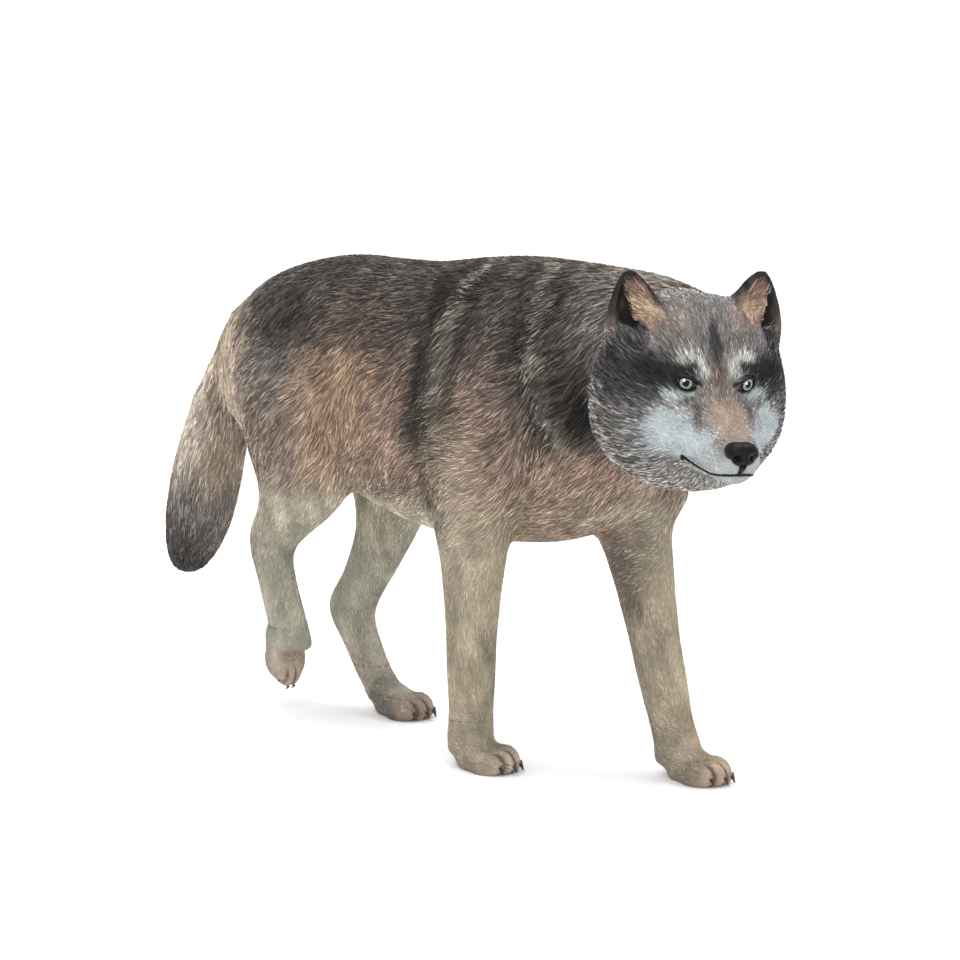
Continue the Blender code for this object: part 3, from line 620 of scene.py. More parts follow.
def ear_share(p):
    """Where a point lies across the ear: -1 at its inner rim, 1 at its outer rim."""
    x, z = np.abs(p[:, 0]), p[:, 2]
    return (x - np.interp(z, EAR_HEIGHTS, EAR_MIDDLES)) / np.interp(z, EAR_HEIGHTS, EAR_HALVES)


def ear_hollow_edge(z):
    """Where across the ear its fur ends and the black hollow starts."""
    return 0.36 - 0.26 * below(z, 20.5, 1.2)


def ear_paint(colours, p):
    """Tan fur inside, a black hollow beside it, and black rims."""
    x, z, u, edge = np.abs(p[:, 0]), p[:, 2], ear_share(p), ear_hollow_edge(p[:, 2])
    facing = below(p[:, 1], np.interp(z, EAR_HEIGHTS, EAR_DEPTHS) + 0.6, 0.25)
    floor_line = 12.3 + 1.25 * np.clip(14.2 - x, 0, 4.4)
    inside = facing * above(z, floor_line, 0.35) * above(x, 9.8, 0.3)
    fur = inside * above(z, 14.2, 0.7) * below(u, edge, 0.05) * above(u, -0.7, 0.05)
    low = below(z, 20.2, 0.9)
    strip = inside * above(u, 0.70, 0.04) * below(u, 0.93, 0.04) * below(z, 18.5, 1.0)
    rim = above(z, 15, 1) * above(x, 10.6, 0.4)
    colours = lay(colours, "ear_back", 0.95 * above(z, 15.5, 1.4) * above(x, 10.0, 0.5))
    colours = lay(colours, "ear_rose", fur * (1 - low))
    colours = lay(colours, "ear_tan", fur * low)
    colours = lay(colours, "ear_rose", 0.5 * fur * below(z, 15.6, 0.6))
    colours = lay(colours, "ear_strip", strip)
    colours = lay(colours, "ear_black", inside * above(u, edge, 0.03) * below(u, 0.70, 0.04))
    colours = lay(colours, "ear_black", 0.85 * rim * above(np.abs(u), 0.8, 0.05))
    colours = lay(colours, "ear_black", 0.95 * above(z, 24.6, 0.6))
    return colours


def head_paint(points):
    """The coat colour (sRGB) and the grizzle at points of the head, given in millimetres."""
    p = in_head(points)
    p[:, 0] = np.abs(p[:, 0])
    p += 0.5 * np.stack([ripple(points, 3, 11), ripple(points, 3, 12), ripple(points, 3, 13)], 1)
    colours = ground_coat("head_ground", points)
    colours = brush(colours, HEAD_STROKES, p, CRISP)
    colours = ear_paint(colours, p)
    blotch = 1 + 0.05 * ripple(points, 2.4, 14)
    colours[:, :3] *= blotch[:, None]
    return colours


# painted shade: the skin that shows between the locks is darkened
SKIN_PAINTED_SHADE = 0.8


def paint_skin(skin, painter):
    """Paints a skin a little darker than the locks that will lie on it: painted shade in the gaps between
    them.
    """
    points = np.empty(len(skin.data.vertices) * 3, np.float32)
    skin.data.vertices.foreach_get("co", points)
    colours = painter(points.reshape(-1, 3).astype(float) / MM)
    store_coat(skin.data, colours[:, :3] * SKIN_PAINTED_SHADE)


# %% [markdown]
# ## The eyes
# The real eyes are painted on two cast balls and sealed with a drop of gloss varnish: a small
# black pupil, a pale grey-green iris with fine rays, and a thick black line round the lids. A
# white dot beside each pupil is a painted highlight. The skin is first pressed back where an eye
# sits. Each eye has its own small frame: u runs outward, v up and w out of the face, in millimetres.

# %% Frames of the two eyes
EYE_PLACES = {"right": (-9.0, 3.3), "left": (7.2, 3.0)}
EYE_RADIUS, EYE_PROUD = 3.3, 0.3
EYE_OUT, EYE_DOWN, EYE_SLANT = 0.36, 0.04, 14.0
LID_HALF_WIDTH, UPPER_LID, LOWER_LID = 2.6, 1.35, 1.5
SOCKET_REACH, SOCKET_FLOOR, SOCKET_HALF, SOCKET_RIM = 6.0, 1.6, (3.1, 2.5), 0.3
RIM_START, RIM_RISE = 0.85, 3.0


def past_rim(share, width):
    """How far skin that is pressed back rises again past the rim of its hollow."""
    return RIM_RISE * max(0.0, share - RIM_START) / width


def skin_tree():
    return BVHTree.FromObject(head_skin, bpy.context.evaluated_depsgraph_get())


def touch(tree, start, way):
    """The point where a ray in the head's frame meets the head's skin, and the skin's normal there."""
    hit, normal, _, _ = tree.ray_cast(from_head(*start), head_axes @ Vector(way).normalized())
    return hit, normal


def eye_frame(tree, name):
    across, up = EYE_PLACES[name]
    side = math.copysign(1, across)
    look = Vector((side * EYE_OUT, -1, -EYE_DOWN)).normalized()
    front, _ = touch(tree, (across, -60, up), (0, 1, 0))
    w = (head_axes @ look).normalized()
    u = (head_axes @ Vector((side, EYE_OUT, 0))).normalized()
    u = (u - u.dot(w) * w).normalized()
    v = w.cross(u) * side
    slant = math.radians(EYE_SLANT)
    u, v = u * math.cos(slant) + v * math.sin(slant), v * math.cos(slant) - u * math.sin(slant)
    return front - w * (EYE_RADIUS - EYE_PROUD) * MM, u, v, w


face_tree = skin_tree()
eye_frames = {name: eye_frame(face_tree, name) for name in EYE_PLACES}


def press_back(skin, frame_of_eye):
    """Pushes the skin back under the eye, so that only the eyeball and its lids show."""
    centre, u, v, w = frame_of_eye
    for point in skin.data.vertices:
        away = (point.co - centre) / MM
        if away.length > SOCKET_REACH:
            continue
        share = math.hypot(away.dot(u) / SOCKET_HALF[0], away.dot(v) / SOCKET_HALF[1])
        ceiling = SOCKET_FLOOR + past_rim(share, SOCKET_RIM)
        if away.dot(w) > ceiling:
            point.co += w * (ceiling - away.dot(w)) * MM


for frame_of_eye in eye_frames.values():
    press_back(head_skin, frame_of_eye)
face_tree = skin_tree()
print("eye centres in mm:", {name: [round(c / MM, 1) for c in f[0]] for name, f in eye_frames.items()})


# %% Eyeballs
def move_points(obj, mover):
    """Moves each point of a mesh by a rule, as a sculptor's brush would."""
    for point in obj.data.vertices:
        point.co = mover(point.co.copy())
    obj.data.update()


EYE_BACK, PAST_LIDS = -0.4, 1.2
# painted highlight: where a white dot sits beside each pupil, across and up in the eye's frame
PAINTED_GLINTS = {"right": (0.7, 0.6), "left": (-0.55, 0.6)}


def eyeball(side, frame_of_eye):
    """The front of a ball, cut off above and below where the lids hide it."""
    centre, u, v, w = frame_of_eye
    ball = fresh(
        side + "_eye", bpy.ops.mesh.primitive_uv_sphere_add, segments=48, ring_count=32, radius=EYE_RADIUS
    )
    cut(ball, everywhere, (0, 0, EYE_BACK), (0, 0, -1))
    for height, way in ((UPPER_LID, 1), (LOWER_LID, -1)):
        cut(ball, everywhere, (0, PAST_LIDS * height * way, 0), (0, way, 0))
    for label, (x, y) in (("from_pupil", (0, 0)), ("from_painted_glint", PAINTED_GLINTS[side])):
        place = ball.data.attributes.new(label, "FLOAT", "POINT")
        place.data.foreach_set("value", [math.hypot(p.co.x - x, p.co.y - y) for p in ball.data.vertices])
    move_points(ball, lambda p: centre + (u * p.x + v * p.y + w * p.z) * MM)
    face_outwards(ball)
    bpy.ops.object.shade_smooth()
    tell(ball)
    return ball


eyes = [eyeball(side, frame_of_eye) for side, frame_of_eye in eye_frames.items()]

# %% Lids
LID_RINGS = [
    # how far out each ring lies, its height over the ball, how much it follows the skin
    (1.00, -0.50, 0.0), (0.98, 0.06, 0.0), (1.05, 0.30, 0.0), (1.17, 0.34, 0.1),
    (1.28, 0.20, 0.5), (1.40, -0.10, 0.9), (1.55, -0.60, 1.0),
]
BLACK_UPPER = np.array([1.0, 1.0, 1.0, 1.0, 0.8, 0.65, 0.5])
BLACK_LOWER = np.array([1.0, 1.0, 1.0, 0.9, 0.3, 0.1, 0.0])
LID_BLACK, LID_THICKNESS = "#0e0d0d", 0.25
LID_CORNER, LID_BEND = 1.12, 1.2


def lids(name, frame_of_eye):
    """A ring of skin round the eye: its inner edge hugs the ball and its outer edge sinks in the fur."""
    centre, u, v, w = frame_of_eye
    ring = fresh(name, bpy.ops.mesh.primitive_circle_add, vertices=56, radius=1.0)
    bpy.ops.object.mode_set(mode="EDIT")
    for number in range(1, len(LID_RINGS)):
        bpy.ops.mesh.extrude_region_move()
        grow = (1 + number) / number
        bpy.ops.transform.resize(value=(grow, grow, 1))
    bpy.ops.object.mode_set(mode="OBJECT")
    stages, uppers = [], []

    def wrap(p):
        stage = int(round(math.hypot(p.x, p.y))) - 1
        stages.append(stage)
        uppers.append(p.y > -0.2)
        grow, rise, follow = LID_RINGS[stage]
        angle = math.atan2(p.y, p.x)
        c, s = math.cos(angle), math.sin(angle)
        across = LID_HALF_WIDTH * c * (LID_CORNER if c < -0.7 else 1.0)
        up = (UPPER_LID if s > 0 else LOWER_LID) * math.copysign(abs(s) ** LID_BEND, s)
        ball_height = math.sqrt(max(EYE_RADIUS**2 - across**2 - up**2, 0.8))
        start = centre + (u * across * grow + v * up * grow + w * 12) * MM
        hit, _, _, _ = face_tree.ray_cast(start, -w)
        skin_height = (hit - centre).dot(w) / MM if hit else ball_height
        height = (ball_height * (1 - follow) + skin_height * follow) + rise
        return centre + (u * across * grow + v * up * grow + w * height) * MM

    move_points(ring, wrap)
    fur = head_paint(np.array([p.co for p in ring.data.vertices]) / MM)[:, :3]
    black = np.where(uppers, BLACK_UPPER[stages], BLACK_LOWER[stages])[:, None]
    store_coat(ring.data, fur * (1 - black) + srgb(LID_BLACK) * black)
    modify(ring, "SOLIDIFY", thickness=LID_THICKNESS * MM, offset=-1)
    modify(ring, "SUBSURF", levels=1, render_levels=1)
    face_outwards(ring)
    bpy.ops.object.shade_smooth()
    tell(ring)
    return ring


eyelids = [lids(side + "_eyelids", frame_of_eye) for side, frame_of_eye in eye_frames.items()]

# %% [markdown]
# ## Nose and mouth
# The nose pad is one rounded black block, wide above and narrow below, with two comma-shaped
# nostrils and a groove down its middle. It is a sphere stretched to size whose points are then
# pushed, as with a modelling tool. The mouth is a painted black line that lies by the cast groove.

# %% Nose pad
NOSE_HALF = (4.3, 3.6, 3.0)
NOSE_MIDDLE = (0, -30.3, -10.3)
NOSE_LEAN, NOSE_BOXY = -8.0, 2.6
# the skin under the pad is pressed back to this depth, inside this half width and half height
NOSE_BED, NOSE_BED_HALF, NOSE_BED_RIM = -31.2, (3.9, 2.7), 0.25


def dent(p, spot_at, wide, deep):
    d = math.sqrt(sum(((p[i] - spot_at[i]) / wide[i]) ** 2 for i in range(3)))
    return deep * math.exp(-d * d)


def nose_taper(z):
    """0 above the middle of the pad, and up to 1 at its lower end."""
    return min(max(-z / NOSE_HALF[2], 0), 1)


def nose_shape(p):
    """Squares the ball, narrows it below, sinks the nostrils and the groove, and lifts two domes."""
    boxy = sum(abs(p[i] / NOSE_HALF[i]) ** NOSE_BOXY for i in range(3)) ** (1 / NOSE_BOXY)
    p = p / boxy
    taper = nose_taper(p.z)
    p.x *= 1 - 0.50 * taper**1.5
    p.y *= 1 - 0.12 * taper
    size = abs(p.x)
    side = math.copysign(1, p.x)
    push = dent((size, p.y, p.z), (2.0, -3.3, -0.5), (0.85, 2.0, 0.7), 1.5)
    push += dent((size, p.y, p.z), (3.2, -2.8, -1.1), (0.9, 2.0, 0.45), 0.8)
    push += 0.35 * math.exp(-((p.x / 0.3) ** 2)) * (1 if p.z < 0.6 else 0) * (1 if p.y < 0 else 0)
    p.y += push
    p.x -= side * 0.25 * push
    p.z += 0.22 * math.exp(-(((size - 2.2) / 1.4) ** 2)) * (1 if p.z > 0 else 0)
    return p


for point in head_skin.data.vertices:
    p = head_place.inverted() @ point.co / MM
    if p.y < -27 and abs(p.x) < 6 and -15 < p.z < -6:
        height = p.z - NOSE_MIDDLE[2]
        across = p.x / (NOSE_BED_HALF[0] * (1 - 0.45 * nose_taper(height) ** 1.5))
        back_to = NOSE_BED - past_rim(math.hypot(across, height / NOSE_BED_HALF[1]), NOSE_BED_RIM)
        if p.y < back_to:
            point.co = from_head(p.x, back_to, p.z)

nose = fresh("nose_pad", bpy.ops.mesh.primitive_uv_sphere_add, segments=72, ring_count=48, radius=1.0)
edit_all(nose, bpy.ops.transform.resize, value=NOSE_HALF)
lean = moved(*NOSE_MIDDLE) @ turned(NOSE_LEAN, "X")
move_points(nose, lambda p: from_head(*(lean @ nose_shape(p))))
modify(nose, "SUBSURF", levels=1, render_levels=1)
bpy.ops.object.shade_smooth()
tell(nose)


# %% Painted lines: mouth and lip split
def painted_line(name, places, radii):
    """A thin raised line of paint through points that are given in metres."""
    line = fresh(name, bpy.ops.curve.primitive_nurbs_path_add)
    line.data.splines.clear()
    run = line.data.splines.new("POLY")
    run.points.add(len(places) - 1)
    for knot, place, radius in zip(run.points, places, radii):
        knot.co = (*place, 1)
        knot.radius = radius
    line.data.bevel_depth = MM
    line.data.bevel_resolution = 2
    line.data.use_fill_caps = True
    bpy.ops.object.convert(target="MESH")
    edit_all(line, bpy.ops.mesh.remove_doubles, threshold=TOUCHING)
    face_outwards(line)
    bpy.ops.object.shade_smooth()
    tell(line)
    return line


GROOVE = [(-15.6, -15.6), (-16.0, -14.4), (-18.2, -15.2), (-21.0, -16.0), (-25.0, -16.5), (-28.8, -15.8)]


def mouth_points():
    """The line of the lips, from the right corner round the front to the left one."""
    sides, front = [], []
    for side in (-1, 1):
        run = []
        for (y0, z0), (y1, z1) in zip(GROOVE, GROOVE[1:]):
            for share in (0, 0.25, 0.5, 0.75):
                y, z = y0 + (y1 - y0) * share, z0 + (z1 - z0) * share
                run.append(touch(face_tree, (side * 40, y, z), (-side, 0, 0))[0])
        sides.append(run)
    for x in np.linspace(-3.6, 3.6, 9):
        front.append(touch(face_tree, (x, -60, -15.3 - 0.03 * x * x), (0, 1, 0))[0])
    return sides[0] + front + sides[1][::-1]


mouth_run = mouth_points()
CORNER_RADII = [0.15, 0.45, 0.6, 0.65, 0.62, 0.5, 0.42, 0.38]
front_radii = [0.34] * (len(mouth_run) - 2 * len(CORNER_RADII))
mouth = painted_line("mouth_line", mouth_run, CORNER_RADII + front_radii + CORNER_RADII[::-1])
SPLIT_RADII = [0.95, 0.9, 0.8, 0.7, 0.62, 0.6, 0.62, 0.6]
split_run = [touch(face_tree, (0, -60, -12.6 - 0.4 * step), (0, 1, 0))[0] for step in range(8)]
split = painted_line("lip_split", split_run, SPLIT_RADII)

# %% [markdown]
# ## Whisker pits
# Three rows of tiny dark brush dots on each upper lip.

# %% Whisker pits
pit_mesh = bmesh.new()
for side in (-1, 1):
    for row in range(3):
        for number in range(5):
            y = -29.6 + 1.35 * number + 0.4 * (row % 2)
            z = -10.9 - 1.25 * row - 0.12 * number
            hit, normal = touch(face_tree, (side * 40, y, z), (-side, 0, 0))
            spin = normal.to_track_quat("Z", "Y").to_matrix().to_4x4()
            here = Matrix.Translation(hit + normal * 0.05 * MM) @ spin
            size = (0.26 - 0.02 * number) * MM
            bmesh.ops.create_icosphere(
                pit_mesh, subdivisions=1, radius=size, matrix=here @ Matrix.Diagonal((1, 1, 0.5, 1))
            )
pits = bpy.data.objects.new("whisker_pits", bpy.data.meshes.new("whisker_pits"))
pit_mesh.to_mesh(pits.data)
pit_mesh.free()
bpy.context.scene.collection.objects.link(pits)
only(pits)
bpy.ops.object.shade_smooth()
tell(pits)

# %% [markdown]
# ## Claws
# A claw is a short horn cone that curves down to a blunt point. One is modelled along +Z from a
# cone with four cuts whose rings are moved aside, and each toe gets its own copy.

# %% Model a claw
CLAW_REACH, CLAW_ROOT, CLAW_TIP = 2.2, 0.66, 0.2
claw = fresh(
    "claw_pattern", bpy.ops.mesh.primitive_cone_add,
    vertices=14, radius1=CLAW_ROOT, radius2=CLAW_TIP, depth=CLAW_REACH,
)
edit_all(claw, bpy.ops.transform.translate, value=(0, 0, CLAW_REACH / 2))
for height in (0.6, 1.1, 1.6, 2.0):
    edit_all(claw, bpy.ops.mesh.bisect, plane_co=(0, 0, height), plane_no=(0, 0, 1))
move_points(claw, lambda p: Vector((p.x * 0.92, p.y * (1.15 - 0.05 * p.z) - 0.085 * p.z**2, p.z)))
bpy.ops.object.shade_smooth_by_angle(angle=math.radians(50))

# %% Set the claws on the toes
def claw_copy(name, place, size):
    copy = bpy.data.objects.new(name, claw.data.copy())
    bpy.context.scene.collection.objects.link(copy)
    copy.data.transform(Matrix.Diagonal((size, size, size, 1)))
    copy.data.transform(Matrix.Scale(MM, 4) @ Matrix.Translation(BODY_SHIFT) @ place)
    return copy


TOE_HEIGHT, TOE_FAN, CLAW_SIZE, LIFTED_CLAW_SIZE = 3.7, 5.5, 0.9, 0.6
DEWCLAW_HEIGHT, DEWCLAW_OUT, DEWCLAW_SIZE = 11.2, 4.6, 1.1
claws = []
for paw_name, (place, spread) in PAWS.items():
    for number, (side, reach, lift) in enumerate(TOES):
        root = moved(side * TOE_SPACING * spread, TOE_FRONT + reach, TOE_HEIGHT + lift)
        turn = turned(-side * TOE_FAN, "Z") @ moved(0, -5.0, -0.8) @ turned(140, "X")
        size = LIFTED_CLAW_SIZE if spread < 1 else CLAW_SIZE
        claws.append(claw_copy(f"{paw_name}_claw_{number + 1}", place @ root @ turn, size))
for name, x, y, inner in (("right_dewclaw", -16.5, -37.8, 1), ("left_dewclaw", 13.5, -84.3, -1)):
    place = moved(x + inner * DEWCLAW_OUT, y, DEWCLAW_HEIGHT) @ turned(155, "X") @ turned(inner * 18, "Y")
    claws.append(claw_copy(name, place, DEWCLAW_SIZE))
bpy.data.objects.remove(claw, do_unlink=True)
for piece in claws:
    face_outwards(piece)
print(len(claws), "claws of", len(claws[0].data.polygons), "faces each")

# %% Paint the skins
skins = [body_skin, head_skin, paws_skin, lifted_skin]
for skin in skins:
    paint_skin(skin, head_paint if skin is head_skin else body_paint)
print("skins painted at", round(time.time() - started, 1), "s")

# %% [markdown]
# ## The comb
# Carved fur lies along the body as it grows: back along the spine, back and down on the flank,
# down the legs and tail, and away from the nose on the head. A few comb strokes give a place and
# a direction, and every point between takes the mean of the strokes, the near ones most.

# %% Comb strokes on the body
COMB = np.array([
    # side, along, up, and the way the hair points: side, along, up
    (0, -75, 136, 0, 1, -0.1),
    (0, -20, 136, 0, 1, -0.1),
    (0, 20, 132, 0, 1, -0.1),
    (0, 60, 126, 0, 0.9, -0.5),
    (8, 85, 112, 0, 0.5, -0.9),
    (22, -62, 118, 0, 0.75, -0.65),
    (22, -62, 98, 0, 0.7, -0.7),
    (14, -75, 86, 0.1, 0.6, -0.8),
    (24, -35, 112, 0, 0.8, -0.6),
    (24, -20, 84, 0, 0.95, -0.32),
    (22, -5, 105, 0, 0.72, -0.7),
    (20, -5, 75, 0, 0.8, -0.6),
    (21, 25, 108, 0, 0.8, -0.6),
    (20, 25, 85, 0, 0.72, -0.7),
    (0, 10, 60, 0, 1, -0.05),
    (19, 52, 108, 0, 0.7, -0.7),
    (19, 55, 82, 0, 0.5, -0.85),
    (6, 78, 90, 0, 0.3, -0.95),
    (15, -25, 40, 0, 0.12, -1),
    (15, -65, 40, 0, -0.1, -1),
    (13, 48, 55, 0, 0.3, -0.95),
    (13, 50, 30, 0, -0.1, -1),
    (0, -50, 64, 0, 0.9, -0.3),
    (16.5, -32, 5, 0, -1, -0.4),
    (13.5, -80, 5, 0, -1, -0.4),
    (10.5, 29, 5, 0, -1, -0.4),
    (0, 95, 88, 0, 0.4, -0.92),
    (0, 108, 62, 0, 0.36, -0.93),
    (0, 116, 40, 0, 0.36, -0.93),
])
COMB_REACH = 30.0


def body_comb(points):
    p = points.copy()
    side = np.where(p[:, 0] < BODY_MIDDLE, -1.0, 1.0)
    p[:, 0] = np.abs(p[:, 0] - BODY_MIDDLE)
    ways = np.zeros_like(points)
    for stroke in COMB:
        near = 1.0 / (np.sum((p - stroke[:3]) ** 2, axis=1) + COMB_REACH) ** 2
        ways += near[:, None] * stroke[3:]
    ways[:, 0] *= side
    ways = unit(ways)
    wave = 0.22 * ripple(points, 15, 31) + 0.16 * ripple(points, 7, 32)
    return np.stack([ways[:, 0], ways[:, 1] - wave * ways[:, 2], ways[:, 2] + wave * ways[:, 1]], 1)


def head_comb(points):
    p = in_head(points)
    ways = unit(p - np.array([0, -36.0, -9.0]))
    wave = 0.14 * ripple(points, 8, 33)
    ways[:, 0] += wave * ways[:, 2]
    ways[:, 2] -= wave * ways[:, 0]
    ears = (p[:, 2] > 12) & (np.abs(p[:, 0]) > 10.0) & (p[:, 1] > 2.0)
    fan = np.stack([np.sign(p[:, 0]) * (np.abs(p[:, 0]) - 5.5), np.zeros(len(p)), p[:, 2] - 12.5], 1)
    ways[ears] = unit(fan[ears])
    return ways @ np.array(head_axes).T


# %% [markdown]
# ## One lock of fur
# A carved lock is a narrow ridge: it rises out of the coat, is widest before its middle and runs
# out to a point. It is modelled once, from a three-sided prism whose two ends are pinched together
# and whose middle ring is lifted, and it has only six triangles, because it is laid some
# eighty thousand times. Its sizes are shares of its length, width and height.

# %% Model the lock
WIDEST = 0.42
lock = fresh("lock_pattern", bpy.ops.mesh.primitive_cylinder_add, vertices=3, radius=0.5, depth=1.0)
edit_all(lock, bpy.ops.transform.rotate, value=math.pi / 2, orient_axis="X", center_override=(0, 0, 0))
edit_all(lock, bpy.ops.transform.translate, value=(0, 0.5, 0))
edit_all(lock, bpy.ops.mesh.bisect, plane_co=(0, WIDEST, 0), plane_no=(0, 1, 0))


def select_points(obj, where):
    """In edit mode, selects the points that `where` picks, and nothing else."""
    bpy.ops.mesh.select_mode(type="VERT")
    bpy.ops.mesh.select_all(action="DESELECT")
    mesh = bmesh.from_edit_mesh(obj.data)
    for point in mesh.verts:
        point.select_set(bool(where(point.co)))
    mesh.select_flush_mode()
    bmesh.update_edit_mesh(obj.data)


bpy.ops.object.mode_set(mode="EDIT")
for end in (0.0, 1.0):
    select_points(lock, lambda p: abs(p.y - end) < 0.01)
    bpy.ops.mesh.merge(type="CENTER")
ring_heights = [v.co.z for v in bmesh.from_edit_mesh(lock.data).verts if abs(v.co.y - WIDEST) < 0.01]
if sum(height > 0 for height in ring_heights) == 2:
    bpy.ops.mesh.select_all(action="SELECT")
    bpy.ops.transform.resize(value=(1, 1, -1), center_override=(0, 0, 0))
select_points(lock, lambda p: abs(p.y - WIDEST) < 0.01 and p.z > 0.3)
bpy.ops.transform.translate(value=(0, 0, 0.5))
select_points(lock, lambda p: p.y < 0.01)
bpy.ops.transform.translate(value=(0, 0, -0.4))
select_points(lock, lambda p: p.y > 0.99)
bpy.ops.transform.translate(value=(0, 0, 0.15))
bpy.ops.object.mode_set(mode="OBJECT")
face_outwards(lock)
LOCK_CORNERS = np.array([v.co for v in lock.data.vertices])
LOCK_FACES = np.array([list(face.vertices) for face in lock.data.polygons])
# painted shade: the paint is darker down at the root and between locks, full on the crest, and lighter at
# the tip
LOCK_PAINTED_SHADE_AND_TIP = 0.66 + 0.34 * np.clip(LOCK_CORNERS[:, 2], 0, 1) + 0.4 * (LOCK_CORNERS[:, 1] > 0.9)
print("a lock has", len(LOCK_CORNERS), "corners and", len(LOCK_FACES), "triangles")
bpy.data.objects.remove(lock, do_unlink=True)


# %% Lay locks over a skin
def skin_faces(skin):
    count = len(skin.data.polygons)
    centres, normals, areas = np.empty(count * 3), np.empty(count * 3), np.empty(count)
    skin.data.polygons.foreach_get("center", centres)
    skin.data.polygons.foreach_get("normal", normals)
    skin.data.polygons.foreach_get("area", areas)
    return centres.reshape(-1, 3) / MM, normals.reshape(-1, 3), areas / MM**2


def along_surface(ways, normals):
    return unit(ways - np.sum(ways * normals, axis=1)[:, None] * normals)


# how far along itself a lock strays for its paint, and how light and dark locks differ
STRAY, CONTRAST, UNEVEN = 0.16, 0.8, 0.45


def lay_locks(name, skin, choose, comb, painter, size_of, seed, sway=0.14, cling=1.0):
    """Lays locks on a skin. `size_of` gives each place its length, width, height and locks per mm2.

    With cling at 1 a lock follows the skin to its tip, and below 1 it stands off it more and more.
    """
    dice = np.random.default_rng(seed)
    centres, normals, areas = skin_faces(skin)
    sizes = size_of(centres)
    chance = areas * sizes[:, 3] * choose(centres, normals)
    picked = np.nonzero(dice.random(len(centres)) < chance)[0]
    root, n0 = centres[picked], normals[picked]
    length, width, height = sizes[picked, 0], sizes[picked, 1], sizes[picked, 2]
    length = length * dice.uniform(0.7, 1.3, len(root))
    width = width * dice.uniform(0.75, 1.25, len(root))
    height = height * dice.uniform(0.7, 1.4, len(root))
    surface = BVHTree.FromObject(skin, bpy.context.evaluated_depsgraph_get())

    def settle(points):
        spots, ups = np.empty_like(points), np.empty_like(points)
        for i, point in enumerate(points):
            hit, normal, _, _ = surface.find_nearest(Vector(point) * MM)
            spots[i], ups[i] = np.array(hit) / MM, normal
        return spots, ups

    turn = dice.normal(0, sway, len(root))
    way = along_surface(comb(root), n0)
    way = along_surface(way + np.cross(n0, way) * turn[:, None], n0)
    reached = root + way * (length * WIDEST)[:, None]
    middle, n1 = settle(reached)
    middle += (reached - middle) * (1 - cling)
    way1 = along_surface(unit(comb(middle)) + way * 0.5, n1)
    way1 = along_surface(way1 + np.cross(n1, way1) * (turn * 0.7)[:, None], n1)
    reached = middle + way1 * (length * (1 - WIDEST))[:, None]
    tip, n2 = settle(reached)
    tip += (reached - tip) * (1 - cling)
    spots = np.stack([root, middle, tip], 1)
    ups = np.stack([n0, n1, n2], 1)
    across = np.stack([unit(np.cross(way, n0)), unit(np.cross(way1, n1)), unit(np.cross(way1, n2))], 1)

    count = len(root)
    station = np.searchsorted([0.2, 0.7], LOCK_CORNERS[:, 1])
    verts = spots[:, station]
    verts = verts + across[:, station] * (LOCK_CORNERS[:, 0] * width[:, None])[..., None]
    verts = verts + ups[:, station] * (LOCK_CORNERS[:, 2] * height[:, None])[..., None]
    faces = LOCK_FACES[None] + (np.arange(count) * len(LOCK_CORNERS))[:, None, None]

    strayed = root + way * dice.normal(0, STRAY, count)[:, None] * length[:, None]
    paint = painter(strayed)
    light = np.where(dice.random(count) < 0.5, CONTRAST, -CONTRAST) + dice.normal(0, UNEVEN, count)
    tone = np.exp(light * 0.8 * paint[:, 3])
    # each lock's colour, darkened by painted shade at its root and between locks
    colours = paint[:, None, :3] * tone[:, None, None] * LOCK_PAINTED_SHADE_AND_TIP[None, :, None]

    mesh = bpy.data.meshes.new(name)
    mesh.vertices.add(verts.shape[0] * verts.shape[1])
    mesh.vertices.foreach_set("co", (verts * MM).astype(np.float32).ravel())
    corners = faces.size
    mesh.loops.add(corners)
    mesh.loops.foreach_set("vertex_index", faces.astype(np.int32).ravel())
    mesh.polygons.add(corners // 3)
    mesh.polygons.foreach_set("loop_start", np.arange(0, corners, 3, dtype=np.int32))
    mesh.update(calc_edges=True)
    store_coat(mesh, colours.reshape(-1, 3))
    locks = bpy.data.objects.new(name, mesh)
    bpy.context.scene.collection.objects.link(locks)
    only(locks)
    bpy.ops.object.shade_smooth()
    print(name, "has", count, "locks, ready at", round(time.time() - started, 1), "s")
    return locks


# %% [markdown]
# ## Size of the locks by region
# On the real casting the fur is long and deep on the neck, back and tail, short on the legs and
# finest on the face. Each region says how long, wide and high its locks are, and how many lie on
# a square millimetre.

# %% Lock sizes
BODY_LOCK = (7.4, 0.58, 0.38, 1.55)
MANE_LOCK = (8.0, 0.60, 0.46, 1.45)
LEG_LOCK = (3.0, 0.46, 0.10, 1.7)
TAIL_LOCK = (8.0, 0.66, 0.40, 1.6)
FACE_LOCK = (2.8, 0.36, 0.15, 3.2)
MUZZLE_LOCK = (1.2, 0.30, 0.05, 4.2)
RUFF_LOCK = (7.4, 0.44, 0.42, 1.9)
PAW_LOCK = (1.8, 0.36, 0.07, 2.2)
EAR_LOCK = (2.2, 0.34, 0.12, 2.8)
EAR_FUR_LOCK = (4.8, 0.50, 0.32, 2.6)


def mix_sizes(base, other, share):
    return base + (np.array(other) - base) * share[:, None]


def body_sizes(centres):
    y, z = centres[:, 1], centres[:, 2]
    sizes = np.tile(np.array(BODY_LOCK), (len(centres), 1))
    sizes = mix_sizes(sizes, MANE_LOCK, below(y, -40, 6))
    sizes = mix_sizes(sizes, LEG_LOCK, below(z - 0.15 * np.abs(y), 66, 4))
    return mix_sizes(sizes, TAIL_LOCK, above(y + 0.2 * (z - 90), 94, 2))


